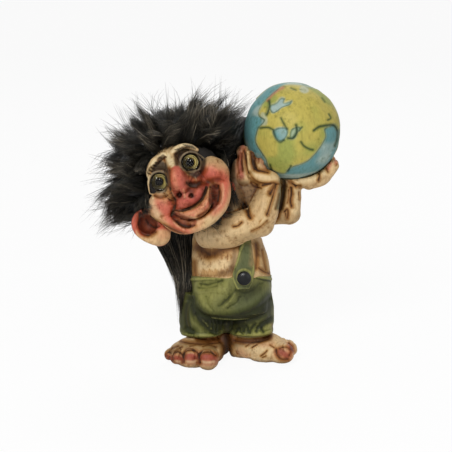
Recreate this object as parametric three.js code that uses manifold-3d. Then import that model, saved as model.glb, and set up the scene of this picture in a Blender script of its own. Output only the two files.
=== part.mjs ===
// Troll figurine holding a globe: painted castings, glass eyes and a furry wig.
// Millimetres, +Z up, the front faces -Y. The troll's right side is on the -X side.
import * as THREE from 'three';
import { mergeVertices } from 'three/addons/utils/BufferGeometryUtils.js';
import Module from 'manifold-3d';

const wasm = await Module();
wasm.setup();

const V = (x, y, z) => new THREE.Vector3(x, y, z);
const rad = THREE.MathUtils.degToRad;

// Fits
const glueGap = 0.3; // between two pieces that are glued face to face
const bigSpan = 400; // longer than the whole figure, for cutting slabs

// How many facets go round a form
const facets = {
  globe: 22, skull: 16, body: 16, lump: 9, limb: 7, small: 6, lathe: 12, mane: 36, nape: 20,
};

// Heights, each built on the one below it
const hemHeight = 14.8;
const waistHeight = hemHeight + 32;
const chestHeight = waistHeight + 19.2;
const neckHeight = chestHeight + 9;

// Trousers
const waistCentre = V(1.6, -6, waistHeight);
const waistTilt = 10; // degrees, the front of the waistband is higher
const waistWidth = 43;
const waistDepth = 39;
const bellyDrop = 20.5; // from the waistband down to the overhang
const bandHeight = 3.4;
const bandProud = 0.7;
const hemWidth = 22.6;
const hemDepth = 23;
const cuffProud = 0.8;
const cuffHeight = 2.4;
const cuffHollow = 3; // the leg is hollow this far up inside the hem
const legX = { right: -14, left: 12.4 };
const legY = -4.5;

// Torso
const chestCentre = V(0.2, -3.5, chestHeight);
const chestWidth = 40;
const chestDepth = 33;
const neckBase = V(-9, -4, neckHeight);
const waistPinRadius = 11;
const waistPinLength = 7;
const neckPinRadius = 5;
const neckPinLength = 9;

// Feet
const ankleRadius = 7.8;
const anklePinRadius = 5.5;
const anklePinLength = 6;
const footHeight = hemHeight - 0.5; // the ankle goes up into the hollow hem
const rightHeel = V(-13, 3, 6);
const rightBall = V(-18.2, -13.5, 5.8);
const leftHeel = V(8.2, 1.5, 6);
const leftBall = V(19.5, -4.6, 6);

// Arms
const armPinRadius = 3;
const armPinLength = 14; // from inside the shoulder into the chest
const rightShoulder = V(-9.4, -12, chestHeight + 5);
const rightElbow = V(16.2, -19.5, chestHeight + 12.6);
const rightWrist = V(21.4, -14.2, chestHeight + 31);
const leftShoulder = V(9.5, 0, chestHeight + 16);
const leftElbow = V(31.6, -1.5, chestHeight + 14.8);
const leftWrist = V(33.2, -2, chestHeight + 28.5);

// Globe
const globeRadius = 25.5;
const landRise = 0.5; // how far the land stands above the sea
const globeCentre = V(leftWrist.x + 0.5, leftWrist.y + 4, leftWrist.z + 29);

// Head, in a frame of its own: x to the troll's left, y backwards, z to the crown,
// with the point midway between the eyes at its origin
const headPlace = V(neckBase.x - 18.3, neckBase.y - 28, neckHeight + 33.5);
const headLean = 30; // degrees, the crown leans to the troll's right
const headLift = 13; // degrees, the face looks slightly up
const skullCentre = V(0.5, 19, -1);
const skullRadii = V(21.5, 21, 23);
const eyeRadius = 4.7;
const eyeSpread = { right: V(-9.4, 1.2, -0.8), left: V(9.2, 1.2, -0.2) };
const glassDepth = 2.2; // from the painted backing to the front of the glass
const backingDepth = 2.4;
const earPinRadius = 2.4;
const earPinLength = 11; // from inside the ear into the skull
const rightEarCentre = V(-25.3, 8, -19.5);
const leftEarCentre = V(23, 17.5, -17);
const earBack = { right: 0, left: 70 }; // degrees that an ear is pressed back

// Brace
const braceThickness = 1.1;
const buttonCentre = { x: 8.3, z: waistHeight + 4 };
const buttonRadius = 3.7;
const buttonDome = 1.6;
const shankRadius = 1.3;
const shankLength = 0.8; // behind the button's flat back
const shankRoot = 0.3; // inside the button

// Wig
const clothThickness = 0.8;
const hairlineDepth = 3; // behind the eyes

const headFrame = new THREE.Matrix4().makeRotationFromEuler(
  new THREE.Euler(rad(-headLift), rad(-headLean), 0, 'XYZ')).setPosition(headPlace);
const bodyToHead = headFrame.clone().invert();

/** Turns closed geometry into a solid. */
function toSolid(geometry) {
  const plain = geometry.clone();
  for (const name of Object.keys(plain.attributes)) {
    if (name !== 'position') plain.deleteAttribute(name);
  }
  const merged = mergeVertices(plain, 1e-4);
  return new wasm.Manifold(new wasm.Mesh({
    numProp: 3,
    vertProperties: new Float32Array(merged.attributes.position.array),
    triVerts: new Uint32Array(merged.index.array),
  }));
}

/** Joins a list of overlapping geometries into one solid, moved by a matrix if one is given. */
function joined(geometries, matrix = null) {
  const placed = geometries.map((g) => (matrix ? g.clone().applyMatrix4(matrix) : g));
  return placed.map(toSolid).reduce((sum, solid) => sum.add(solid));
}

/** Gives a solid back as geometry, without the crumbs that a cut may leave beside it. */
function toGeometry(solid) {
  const { vertProperties, triVerts } = solid.getMesh();
  const geometry = new THREE.BufferGeometry();
  geometry.setAttribute('position', new THREE.BufferAttribute(new Float32Array(vertProperties), 3));
  geometry.setIndex(new THREE.BufferAttribute(largestShell(triVerts, vertProperties.length / 3), 1));
  geometry.computeVertexNormals();
  return geometry;
}

/** The triangles of the shell that holds the most of them. */
function largestShell(triangles, vertexCount) {
  const owner = Array.from({ length: vertexCount }, (_, i) => i);
  const find = (i) => {
    let root = i;
    while (owner[root] !== root) root = owner[root];
    for (let at = i; owner[at] !== root;) [owner[at], at] = [root, owner[at]];
    return root;
  };
  for (let i = 0; i < triangles.length; i += 3) {
    owner[find(triangles[i])] = find(triangles[i + 1]);
    owner[find(triangles[i + 1])] = find(triangles[i + 2]);
  }
  const shells = new Map();
  for (let i = 0; i < triangles.length; i += 3) {
    const root = find(triangles[i]);
    if (!shells.has(root)) shells.set(root, []);
    shells.get(root).push(triangles[i], triangles[i + 1], triangles[i + 2]);
  }
  const fullest = (best, shell) => (shell.length > best.length ? shell : best);
  return new Uint32Array([...shells.values()].reduce(fullest));
}

/** The least y of a solid's corners. */
function frontOf(solid) {
  const corners = solid.getMesh().vertProperties;
  return corners.reduce((front, value, i) => (i % 3 === 1 ? Math.min(front, value) : front), Infinity);
}

/** An ellipsoid with its centre, three radii and a turn in degrees about x, y and z. */
function lump(centre, radii, grow = 0, turn = [0, 0, 0], segments = facets.lump) {
  const ball = new THREE.SphereGeometry(1, segments, Math.round(segments * 0.6));
  ball.rotateX(Math.PI / 2);
  ball.scale(radii.x + grow, radii.y + grow, radii.z + grow);
  ball.rotateX(rad(turn[0])).rotateY(rad(turn[1])).rotateZ(rad(turn[2]));
  return ball.translate(centre.x, centre.y, centre.z);
}

/** A closed skin over a row of rings with equal counts, its ends closed to their middles. */
function skin(rings) {
  const count = rings[0].length;
  const middle = (ring) => ring.reduce((sum, p) => sum.add(p), V(0, 0, 0)).divideScalar(count);
  const points = [...rings.flat(), middle(rings[0]), middle(rings[rings.length - 1])];
  const first = points.length - 2;
  const index = [];
  for (let j = 0; j < count; j++) {
    const k = (j + 1) % count;
    index.push(first, k, j, first + 1, (rings.length - 1) * count + j, (rings.length - 1) * count + k);
    for (let i = 0; i + 1 < rings.length; i++) {
      const [a, b, c, d] = [i * count + j, i * count + k, (i + 1) * count + k, (i + 1) * count + j];
      index.push(a, b, c, a, c, d);
    }
  }
  const geometry = new THREE.BufferGeometry().setFromPoints(points);
  geometry.setIndex(index);
  return signedVolume(geometry) < 0 ? flipped(geometry) : geometry;
}

/** The volume inside an indexed closed geometry, negative if its faces point inwards. */
function signedVolume(geometry) {
  const at = geometry.attributes.position;
  const corner = (i) => new THREE.Vector3().fromBufferAttribute(at, geometry.index.getX(i));
  let total = 0;
  for (let i = 0; i < geometry.index.count; i += 3) {
    total += corner(i).dot(corner(i + 1).cross(corner(i + 2))) / 6;
  }
  return total;
}

/** Turns the faces of an indexed geometry the other way. */
function flipped(geometry) {
  const order = geometry.index.array;
  for (let i = 0; i < order.length; i += 3) [order[i], order[i + 1]] = [order[i + 1], order[i]];
  return geometry;
}

/** A value at t from 0 to 1 along a list, with smooth steps between its entries. */
function along(list, t) {
  const place = Math.min(t, 0.999999) * (list.length - 1);
  const i = Math.floor(place);
  const s = THREE.MathUtils.smoothstep(place - i, 0, 1);
  return list[i] * (1 - s) + list[i + 1] * s;
}

/** A rounded limb along points, with a radius at each. */
function limb(points, radii, grow = 0, { sides = facets.limb, steps = 3, up = V(0, -1, 0) } = {}) {
  const curve = new THREE.CatmullRomCurve3(points, false, 'centripetal');
  const rings = [];
  const total = steps * (points.length - 1);
  const ringAt = (t, scale, push) => {
    const centre = curve.getPoint(t);
    const tangent = curve.getTangent(t).normalize();
    const side = tangent.clone().cross(up).normalize();
    const other = side.clone().cross(tangent).normalize();
    const r = along(radii, t) + grow;
    centre.addScaledVector(tangent, push * r);
    const ring = [];
    for (let j = 0; j < sides; j++) {
      const a = (2 * Math.PI * j) / sides;
      ring.push(centre.clone().addScaledVector(side, Math.cos(a) * r * scale)
        .addScaledVector(other, Math.sin(a) * r * scale));
    }
    rings.push(ring);
  };
  for (const a of [70, 35]) ringAt(0, Math.cos(rad(a)), -Math.sin(rad(a)));
  for (let i = 0; i <= total; i++) ringAt(i / total, 1, 0);
  for (const a of [35, 70]) ringAt(1, Math.cos(rad(a)), Math.sin(rad(a)));
  return skin(rings);
}

/** A body of level oval sections: each is its height, its centre and its two half widths. */
function stack(sections, grow = 0, { sides = facets.body, steps = 2 } = {}) {
  const centres = new THREE.CatmullRomCurve3(sections.map((s) => V(s.x, s.y, s.z)), false, 'centripetal');
  const rings = [];
  const total = steps * (sections.length - 1);
  for (let i = 0; i <= total; i++) {
    const t = i / total;
    const centre = centres.getPoint(t);
    const rx = along(sections.map((s) => s.rx), t) + grow;
    const ry = along(sections.map((s) => s.ry), t) + grow;
    const ends = i === 0 ? -grow : i === total ? grow : 0;
    const ring = [];
    for (let j = 0; j < sides; j++) {
      const a = (2 * Math.PI * j) / sides;
      ring.push(V(centre.x + Math.cos(a) * rx, centre.y + Math.sin(a) * ry, centre.z + ends));
    }
    rings.push(ring);
  }
  return skin(rings);
}

/** A round pin from a point along a direction. */
function pin(from, direction, radius, length, grow = 0, sides = facets.lathe) {
  const rod = new THREE.CylinderGeometry(radius + grow, radius + grow, length + grow, sides);
  rod.translate(0, (length + grow) / 2, 0);
  rod.applyQuaternion(new THREE.Quaternion().setFromUnitVectors(V(0, 1, 0), direction.clone().normalize()));
  return rod.translate(from.x, from.y, from.z);
}

/** A slab that fills the space on one side of a plane. */
function halfSpace(point, normal) {
  const slab = new THREE.BoxGeometry(bigSpan, bigSpan, bigSpan);
  slab.translate(0, 0, bigSpan / 2);
  slab.applyQuaternion(new THREE.Quaternion().setFromUnitVectors(V(0, 0, 1), normal.clone().normalize()));
  return slab.translate(point.x, point.y, point.z);
}

const waistNormal = V(0, Math.sin(rad(waistTilt)), Math.cos(rad(waistTilt)));

/** The torso before its neighbours are cut from it. */
function torsoShapes(grow = 0) {
  const { x, y, z } = chestCentre;
  const waistRx = waistWidth / 2 - 0.6;
  const waistRy = waistDepth / 2 - 0.6;
  const chest = stack([
    { z: waistCentre.z - 6, x: waistCentre.x, y: waistCentre.y, rx: waistRx, ry: waistRy },
    { z: waistCentre.z + 1, x: waistCentre.x, y: waistCentre.y, rx: waistRx, ry: waistRy },
    { z: z - 9, x: x + 0.8, y: y - 1.5, rx: chestWidth / 2, ry: chestDepth / 2 + 1.5 },
    { z, x: x - 0.6, y, rx: chestWidth / 2 - 1.2, ry: chestDepth / 2 },
    { z: z + 6, x: x - 1.6, y, rx: chestWidth / 2 - 4, ry: chestDepth / 2 - 3 },
    { z: neckBase.z, x: neckBase.x + 4, y: neckBase.y, rx: chestWidth / 3.4, ry: chestDepth / 3.6 },
  ], grow);
  const shoulders = [rightShoulder, leftShoulder].map((at) =>
    lump(V(at.x * 0.92, at.y + 4, at.z - 2), V(7.6, 9, 8.5), grow));
  const neck = limb([V(neckBase.x + 2, neckBase.y, neckBase.z - 6), neckBase,
    V(neckBase.x - 4, neckBase.y - 1, neckBase.z + 8)], [9.5, 8.5, 8], grow);
  return [chest, ...shoulders, neck];
}

/** One trouser leg, from inside the hips down to the hem. */
function legShapes(side, grow = 0) {
  const x = legX[side];
  const inner = -Math.sign(x);
  return [
    stack([
      { z: hemHeight, x, y: legY, rx: hemWidth / 2, ry: hemDepth / 2 },
      { z: hemHeight + 6, x: x - inner * 0.3, y: legY + 0.4, rx: hemWidth / 2 + 1.2, ry: hemDepth / 2 + 1 },
      { z: hemHeight + 14, x: x + inner * 0.8, y: legY + 1, rx: hemWidth / 2 + 2, ry: hemDepth / 2 + 2.5 },
      { z: hemHeight + 24, x: x + inner * 4, y: legY + 1, rx: hemWidth / 2 + 3.5, ry: hemDepth / 2 + 4 },
    ], grow),
    stack([
      { z: hemHeight, x, y: legY, rx: hemWidth / 2 + cuffProud, ry: hemDepth / 2 + cuffProud },
      { z: hemHeight + cuffHeight, x, y: legY, rx: hemWidth / 2 + cuffProud, ry: hemDepth / 2 + cuffProud },
    ], grow, { steps: 1 }),
  ];
}

/** The trousers' bulging top before the waist is cut. */
function bellyShapes(grow = 0) {
  const { x, y, z } = waistCentre;
  const [rx, ry] = [waistWidth / 2, waistDepth / 2];
  const low = z - bellyDrop;
  return [
    stack([
      { z: low, x, y: y - 1.5, rx: rx * 0.7, ry: ry * 0.72 },
      { z: low + 3, x, y: y - 1.5, rx: rx * 0.94, ry: ry * 0.95 },
      { z: low + 8.5, x, y: y - 0.5, rx: rx * 1.01, ry: ry * 1.03 },
      { z: low + 14, x, y, rx: rx * 1.01, ry: ry * 1.02 },
      { z: z + 8, x, y, rx, ry },
    ], grow),
    lump(V(x - 4.2, y + 9.5, z - 12), V(22.4, 11.5, 12.5), grow),
    lump(V(x - 2.4, legY + 2, hemHeight + 8), V(4.4, 8, 7.6), grow),
  ];
}

/** The waistband, a raised ring along the tilted top edge. */
function bandSolid(grow = 0) {
  const { x, y, z } = waistCentre;
  const [rx, ry] = [waistWidth / 2 + bandProud, waistDepth / 2 + bandProud];
  const tall = waistDepth / 3;
  const tube = stack([{ z: z - tall, x, y, rx, ry }, { z: z + tall, x, y, rx, ry }], grow, { steps: 1 });
  const low = waistCentre.clone().addScaledVector(waistNormal, -bandHeight);
  return toSolid(tube).intersect(toSolid(halfSpace(low, waistNormal)));
}

/** The trousers' outer shape, cut at the waist, without sockets. */
function trousersSolid(grow = 0) {
  const top = waistCentre.clone().addScaledVector(waistNormal, grow);
  return joined([...bellyShapes(grow), ...legShapes('right', grow), ...legShapes('left', grow)])
    .add(bandSolid(grow))
    .subtract(toSolid(halfSpace(top, waistNormal)));
}

/** A toe: a short fat lump that points along a direction. */
function toe(centre, radius, heading, grow) {
  return lump(centre, V(radius, radius * 1.35, radius * 0.98), grow, [0, 0, heading], facets.limb);
}

/** The ankle, from the heel up into the hem. */
function ankle(side, grow) {
  const x = legX[side];
  const [high, low] = [V(x, legY, footHeight + 1), V(x + 0.5, legY - 0.5, 9)];
  return limb([high, low], [ankleRadius, ankleRadius + 1.5], grow, { up: V(0, 1, 0) });
}

/** The right foot: heel, ball and four toes in a row, the great toe inside. */
function rightFootShapes(grow = 0) {
  return [
    lump(rightHeel, V(8.6, 9.5, 8.5), grow),
    lump(rightBall, V(13.6, 11.5, 8), grow, [0, 0, -14]),
    lump(V(rightBall.x + 9.4, rightBall.y + 5.5, rightBall.z), V(7, 10, 7.4), grow),
    lump(V(rightHeel.x + 7.9, rightHeel.y - 2, hemHeight - 7.8), V(4.4, 8, 7.4), grow),
    ankle('right', grow),
    toe(V(-10.8, -20.6, 5), 6.2, -4, grow),
    toe(V(-20, -20, 4.8), 4.9, -10, grow),
    toe(V(-26.8, -16.6, 4.5), 4.1, -20, grow),
    toe(V(-30.6, -12, 4.6), 3.3, -30, grow),
  ];
}

/** The left foot, turned well out, with its great toe nearest the front. */
function leftFootShapes(grow = 0) {
  return [
    lump(leftHeel, V(8.6, 9, 8.5), grow),
    lump(leftBall, V(13.4, 11.6, 8), grow, [0, 0, -36]),
    lump(V(leftHeel.x - 4.8, leftHeel.y - 0.5, hemHeight - 6.8), V(3.8, 7, 6.4), grow),
    ankle('left', grow),
    toe(V(28, -12, 5.1), 6.1, 58, grow),
    toe(V(31.6, -4.4, 5.2), 4.5, 64, grow),
    toe(V(31.4, 2.4, 4.7), 3.8, 72, grow),
    toe(V(28.4, 7.6, 4.5), 3.3, 84, grow),
  ];
}

/** A foot cut flat at the floor, without its pin. */
function footSolid(shapes) {
  const floor = toSolid(halfSpace(V(0, 0, 0), V(0, 0, -1)));
  const inLeg = toSolid(halfSpace(V(0, 0, footHeight + cuffHollow), V(0, 0, 1)));
  return joined(shapes).subtract(floor).subtract(inLeg);
}

/** The point a distance outside the globe's skin, in a direction from its middle. */
function onGlobe(direction, out) {
  const reach = globeRadius + landRise + out;
  return globeCentre.clone().addScaledVector(direction.clone().normalize(), reach);
}

/** A finger from a knuckle along the globe to its tip, both given as directions from its middle. */
function finger(root, middle, tip, radius, grow) {
  return limb([root, onGlobe(middle, radius * 1.1), onGlobe(tip, radius * 0.75)],
    [radius * 1.15, radius, radius * 0.8], grow, { sides: facets.small, steps: 2, up: V(0.3, 0.2, 1) });
}

/** The right arm: across the chest, bent at the elbow, the hand behind the globe's lower side. */
function rightArmShapes(grow = 0) {
  const s = rightShoulder;
  const e = rightElbow;
  const w = rightWrist;
  const palm = onGlobe(V(-20.3, -13, -20.1), 4.4);
  return [
    limb([s, V(s.x + 10, s.y - 6.5, s.z + 2.8), V(e.x - 9, e.y - 1.5, e.z - 1.4), e],
      [8.4, 9, 8.6, 7.8], grow, { up: V(0, 0, 1) }),
    lump(V(s.x + 1.8, s.y - 1, s.z - 5.4), V(6, 5.8, 5.8), grow),
    limb([e, V(e.x + 2.4, e.y + 0.6, e.z + 7.4), V(w.x - 1, w.y - 1, w.z - 6), w],
      [7.9, 7.8, 7.2, 6], grow),
    lump(V(w.x - 2.4, w.y + 0.4, w.z + 4.6), V(8.6, 6, 4.6), grow, [0, 14, 0]),
    lump(palm, V(7.2, 4.8, 8.6), grow, [0, -14, 0]),
    lump(V(w.x - 9.6, w.y + 3.4, w.z - 4.5), V(8.4, 5, 9.5), grow),
    finger(V(w.x - 12.2, w.y + 3.4, w.z + 3), V(-26.7, -11, -17.5), V(-26.3, -9, -9.5), 3.9, grow),
    finger(V(w.x - 7.4, w.y + 1.2, w.z + 6), V(-22.7, -15, -16.5), V(-22.1, -14, -10.5), 3.1, grow),
    finger(V(w.x - 4, w.y - 0.4, w.z + 7), V(-17.7, -17, -17.5), V(-17.1, -17, -13.1), 2.9, grow),
  ];
}

/** The left arm, behind the right one, its palm and fingers under the globe. */
function leftArmShapes(grow = 0) {
  const s = leftShoulder;
  const e = leftElbow;
  const w = leftWrist;
  const fingers = [-5, 1.5, 8].map((y, i) => {
    const knuckle = V(w.x + 9.5, y, w.z + 3.2 + i * 0.4);
    return finger(knuckle, V(16.3, y - 1.5, -24.5), V(23.8 - i, y - 0.5, -19 + i), 3.6 - i * 0.2, grow);
  });
  const thumb = finger(V(w.x - 1, w.y + 8, w.z + 4), V(-3.7, 10, -25.5), V(-6.7, 12, -23.5), 3.2, grow);
  return [
    limb([s, V((s.x + e.x) / 2, s.y, (s.z + e.z) / 2 - 0.4), e],
      [9.2, 8.2, 7.1], grow, { up: V(0, 0, 1) }),
    limb([e, V(e.x + 0.6, e.y, e.z + 8.4), w], [7.2, 6.7, 5.7], grow),
    lump(V(w.x - 0.2, w.y + 0.4, w.z + 3.4), V(7.4, 7, 5), grow),
    lump(V(w.x + 7.4, w.y + 2.4, w.z + 3.4), V(9, 9.4, 4.4), grow, [0, -10, 0]),
    ...fingers,
    thumb,
  ];
}

/** The skull, the muzzle and the two cheeks, in the head's frame. */
function skullShapes(grow = 0) {
  return [
    lump(skullCentre, skullRadii, grow, [0, 0, 0], facets.skull),
    lump(V(0.8, 8, -16), V(16.5, 13, 14.6), grow),
    lump(V(-14.4, 5, -12.8), V(7.6, 8.6, 8.2), grow),
    lump(V(17, 5, -11), V(7.4, 8.6, 9), grow),
  ];
}

/** All the masses of the head: the skull with its jowls, lips, nose and brows. */
function headShapes(grow = 0) {
  const jowls = [V(-18, 3, -12), V(-14.6, 0, -21.5), V(-9.6, -1, -27.8), V(0, -1.6, -30),
    V(9, -1, -28.4), V(16, 0.6, -23), V(20, 3, -14)];
  const lowerLip = [V(-9.6, -2.6, -18.2), V(-4, -5.6, -23.2), V(1, -6.4, -24.4), V(5.6, -5.6, -22.8),
    V(10.4, -2.6, -17.2)];
  const rightBrow = [V(-13, 2.4, 1), V(-11.6, 0.4, 5.6), V(-7, -1.2, 9.2), V(-0.8, -0.6, 9.8)];
  const leftBrow = [V(4, -0.6, 8.6), V(8.8, -1.2, 8.8), V(12.8, 0, 7), V(15.2, 2, 3.6)];
  return [
    ...skullShapes(grow),
    limb(jowls, [3.6, 3.6, 3.4, 3.3, 3.4, 3.5, 3.6], grow, { steps: 1, sides: facets.small }),
    lump(V(1, -1.6, -15), V(9.8, 7.6, 6.4), grow),
    limb(lowerLip, [1.6, 2.3, 2.5, 2.3, 1.6], grow, { steps: 2, sides: facets.small }),
    limb([V(2.2, 1.5, 9), V(1, -3, 3.6), V(-0.4, -7.6, -2.6)], [2.4, 3.4, 5.6], grow, { steps: 1 }),
    lump(V(-0.5, -8.6, -4.4), V(6, 6.6, 6.4), grow),
    lump(V(0.4, -8.4, -9), V(4.2, 4, 3.4), grow),
    lump(V(-6.2, -4.4, -8.6), V(3.8, 4.6, 4), grow),
    lump(V(6.4, -4.4, -7.6), V(4, 4.6, 4), grow),
    limb(rightBrow, [1.6, 2.1, 2.1, 1.8], grow, { sides: facets.small, steps: 1 }),
    limb(leftBrow, [1.8, 2.1, 2.1, 1.6], grow, { sides: facets.small, steps: 1 }),
  ];
}

/** What is pressed into the face: eye hollows, nostrils, the mouth line and the laugh hollows. */
function faceHollows() {
  const mouth = [V(-11.4, -2, -15.2), V(-7.6, -6, -18.4), V(-2, -9.4, -20.6), V(3, -9.4, -20.4),
    V(8, -6, -17.6), V(11.6, -2, -13.6)];
  return [
    lump(V(-8.6, -1.4, 2.4), V(5.2, 3.6, 5.6)),
    lump(V(8.8, -1.4, 2.6), V(5.2, 3.6, 5.4)),
    lump(V(-3.9, -7.4, -12), V(1.9, 2.6, 1.6), 0, [0, 0, 0], facets.small),
    lump(V(4.9, -7.2, -11.6), V(1.9, 2.6, 1.6), 0, [0, 0, 0], facets.small),
    lump(V(-9.2, -4.6, -25), V(2.6, 3.6, 4.2), 0, [0, -28, 0], facets.limb),
    lump(V(12.4, -3.4, -22), V(2.6, 4, 5.2), 0, [0, 30, 0], facets.limb),
    limb(mouth, [0.7, 1.2, 1.3, 1.3, 1.2, 0.7], 0, { sides: 5, steps: 1 }),
  ];
}

/** An ear's shape, turned back about its root where the ear is pressed back. */
function pressedBack(shape, centre, side) {
  const root = V(centre.x - side * 5.4, centre.y, 0);
  const turn = rad(side * (side < 0 ? earBack.right : earBack.left));
  return shape.translate(-root.x, -root.y, 0).rotateZ(turn).translate(root.x, root.y, 0);
}

/** A big ear with a hollow bowl and a thick lobe. */
function earShapes(centre, side, grow = 0) {
  return [
    lump(V(centre.x + side * 0.6, centre.y, centre.z + 3), V(7.4, 4.4, 7.4), grow),
    lump(V(centre.x - side * 2, centre.y, centre.z - 4), V(6.2, 4.6, 6.6), grow),
    lump(V(centre.x - side * 5.4, centre.y + 1, centre.z), V(4.6, 4, 7.6), grow),
  ].map((shape) => pressedBack(shape, centre, side));
}

/** The ear's bowl, open to the front. */
function earBowl(centre, side) {
  const bowl = lump(V(centre.x + side * 0.4, centre.y - 4.2, centre.z + 3), V(5, 5, 5.2), 0);
  return pressedBack(bowl, centre, side);
}

// Round the face, from the troll's left over the crown to the right, by the angle in degrees:
// how far the hair reaches, and how many degrees from the face it starts
const hairReach = [
  [0, 43], [15, 50], [30, 47], [45, 42], [60, 40], [75, 38], [90, 39], [120, 41], [150, 38.5], [165, 43],
  [180, 45], [195, 37], [215, 28], [240, 24], [270, 26], [300, 31], [345, 38], [360, 43],
];
const hairStart = [
  [0, 58], [20, 50], [33, 46], [60, 38], [115, 38], [135, 46], [160, 56], [185, 62], [215, 80],
  [245, 66], [270, 62], [360, 58],
];

/** A table's value at an angle round the face, in degrees. */
function roundFace(table, angle) {
  const turned = ((angle % 360) + 360) % 360;
  const i = table.findIndex(([a], k) => k + 1 < table.length && turned <= table[k + 1][0]);
  const [[a0, low], [a1, high]] = [table[i], table[i + 1]];
  return THREE.MathUtils.lerp(low, high, (turned - a0) / (a1 - a0));
}

/** Where the hair starts at an angle: it is further back beside the raised hand. */
function startAt(angle) {
  const away = Math.abs(((angle - 345 + 540) % 360) - 180);
  const setBack = away < 50 ? 30 * Math.cos(rad(away * 1.8)) ** 2 : 0;
  return roundFace(hairStart, angle) + setBack;
}

/** The mane: a ball round the skull whose reach follows the hair, drawn out into tufts. */
function maneShape(grow = 0) {
  const around = facets.mane;
  const rows = 13;
  const rings = [];
  for (let i = 1; i < rows; i++) {
    const polar = (Math.PI * i) / rows;
    const back = 1 - 0.08 * THREE.MathUtils.smoothstep(polar, rad(110), rad(180));
    const ring = [];
    for (let j = 0; j < around; j++) {
      const angle = (2 * Math.PI * j) / around;
      const turned = THREE.MathUtils.radToDeg(angle);
      const start = startAt(turned);
      const opened = THREE.MathUtils.smoothstep(polar, rad(start), rad(start + 24));
      const tuft = Math.abs(((j + (i % 2)) % 4) - 2) / 2;
      const wave = 1 + 0.05 * Math.sin(5 * angle + 3 * polar) * opened;
      const reach = roundFace(hairReach, turned) * back * wave * (1 - 0.12 * tuft * opened);
      const r = THREE.MathUtils.lerp(skullRadii.x * 0.8, reach, opened) + grow;
      ring.push(V(
        skullCentre.x + r * Math.sin(polar) * Math.cos(angle),
        skullCentre.y - r * Math.cos(polar),
        skullCentre.z + r * Math.sin(polar) * Math.sin(angle)));
    }
    rings.push(ring);
  }
  return skin(rings);
}

/** The long back hair, falling from the nape to the waist and ending in points. */
function napeShape(grow = 0) {
  const z = neckHeight;
  const sections = [
    { z: z + 13, x: -26, y: 10, rx: 20, ry: 10 },
    { z: z - 2, x: -24, y: 13, rx: 18, ry: 9 },
    { z: z - 14, x: -17, y: 15, rx: 15.5, ry: 7.4 },
    { z: z - 27, x: -14, y: 15.6, rx: 13.5, ry: 6 },
    { z: z - 41, x: -16, y: 15, rx: 9.6, ry: 3 },
  ];
  const fall = stack(sections, grow, { sides: facets.nape, steps: 2 });
  const at = fall.attributes.position;
  for (let i = 0; i < at.count; i++) {
    const lock = i % facets.nape;
    const low = THREE.MathUtils.smoothstep(z + 13 - at.getZ(i), 14, 56);
    at.setZ(i, at.getZ(i) - (lock % 4 === 0 ? 4 : 0) * low);
  }
  return fall;
}

/** A ball of even radius on the globe's centre. */
function globeBall(radius) {
  return lump(globeCentre, V(radius, radius, radius), 0, [0, 0, 0], facets.globe);
}

const seatPoint = (grow) => waistCentre.clone().addScaledVector(waistNormal, glueGap - grow);
const torsoBlank = (grow = 0) => joined(torsoShapes(grow))
  .intersect(toSolid(halfSpace(seatPoint(grow), waistNormal)));
const globeBlank = (grow = 0, matrix = null) => joined([globeBall(globeRadius + landRise + grow)], matrix);
const capBlank = (grow = 0, matrix = null) => joined([
  lump(skullCentre, skullRadii, glueGap + clothThickness + grow, [0, 0, 0], facets.skull)], matrix);
const headBlank = (grow = 0, matrix = null) => joined(headShapes(grow), matrix);
const skullBlank = (grow = 0, matrix = null) => joined(skullShapes(grow), matrix);
const earsBlank = (grow = 0, matrix = null) => joined([
  ...earShapes(rightEarCentre, -1, grow), earPin(rightEarCentre, -1, grow),
  ...earShapes(leftEarCentre, 1, grow), earPin(leftEarCentre, 1, grow)], matrix);

/** The torso, seated on the waist, with its pin, and pockets for the arms and head. */
function makeTorso() {
  const pinTop = waistCentre.clone().addScaledVector(waistNormal, waistPinLength);
  const waistPin = pin(pinTop, waistNormal.clone().negate(), waistPinRadius, waistPinLength * 2);
  const neckPin = pin(neckPinRoot(), neckDirection(), neckPinRadius, neckPinLength);
  return torsoBlank()
    .subtract(headBlank(glueGap, headFrame))
    .subtract(earsBlank(glueGap, headFrame))
    .add(toSolid(waistPin))
    .add(toSolid(neckPin))
    .subtract(toSolid(armPin('right', glueGap)))
    .subtract(toSolid(armPin('left', glueGap)));
}

/** Where the neck's pin starts, inside the neck. */
function neckPinRoot() {
  return neckBase.clone().addScaledVector(neckDirection(), -3);
}

/** From the neck towards the middle of the skull. */
function neckDirection() {
  return skullCentre.clone().applyMatrix4(headFrame).sub(neckBase).normalize();
}

/** A shoulder pin, from the arm into the torso. */
function armPin(side, grow = 0) {
  const shoulder = side === 'right' ? rightShoulder : leftShoulder;
  const inward = V(chestCentre.x, chestCentre.y, shoulder.z - 2).sub(shoulder).normalize();
  return pin(shoulder, inward, armPinRadius, armPinLength, grow);
}

/** The trousers with the pocket for the waist pin and hollow hems for the ankles. */
function makeTrousers() {
  const down = waistNormal.clone().negate();
  const waistPocket = pin(waistCentre, down, waistPinRadius, waistPinLength + glueGap, glueGap);
  const lid = pin(waistCentre, waistNormal, waistPinRadius, 2, glueGap);
  let solid = trousersSolid().subtract(toSolid(waistPocket)).subtract(toSolid(lid));
  for (const x of Object.values(legX)) {
    const hollow = stack([
      { z: hemHeight - 1, x, y: legY, rx: hemWidth / 2 - 1.6, ry: hemDepth / 2 - 1.6 },
      { z: hemHeight + cuffHollow, x, y: legY, rx: hemWidth / 2 - 2.4, ry: hemDepth / 2 - 2.4 },
    ], 0, { steps: 1 });
    const pocketLength = cuffHollow + anklePinLength;
    const pocket = pin(V(x, legY, hemHeight), V(0, 0, 1), anklePinRadius, pocketLength, glueGap);
    solid = solid.subtract(toSolid(hollow)).subtract(toSolid(pocket));
  }
  return solid;
}

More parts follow.
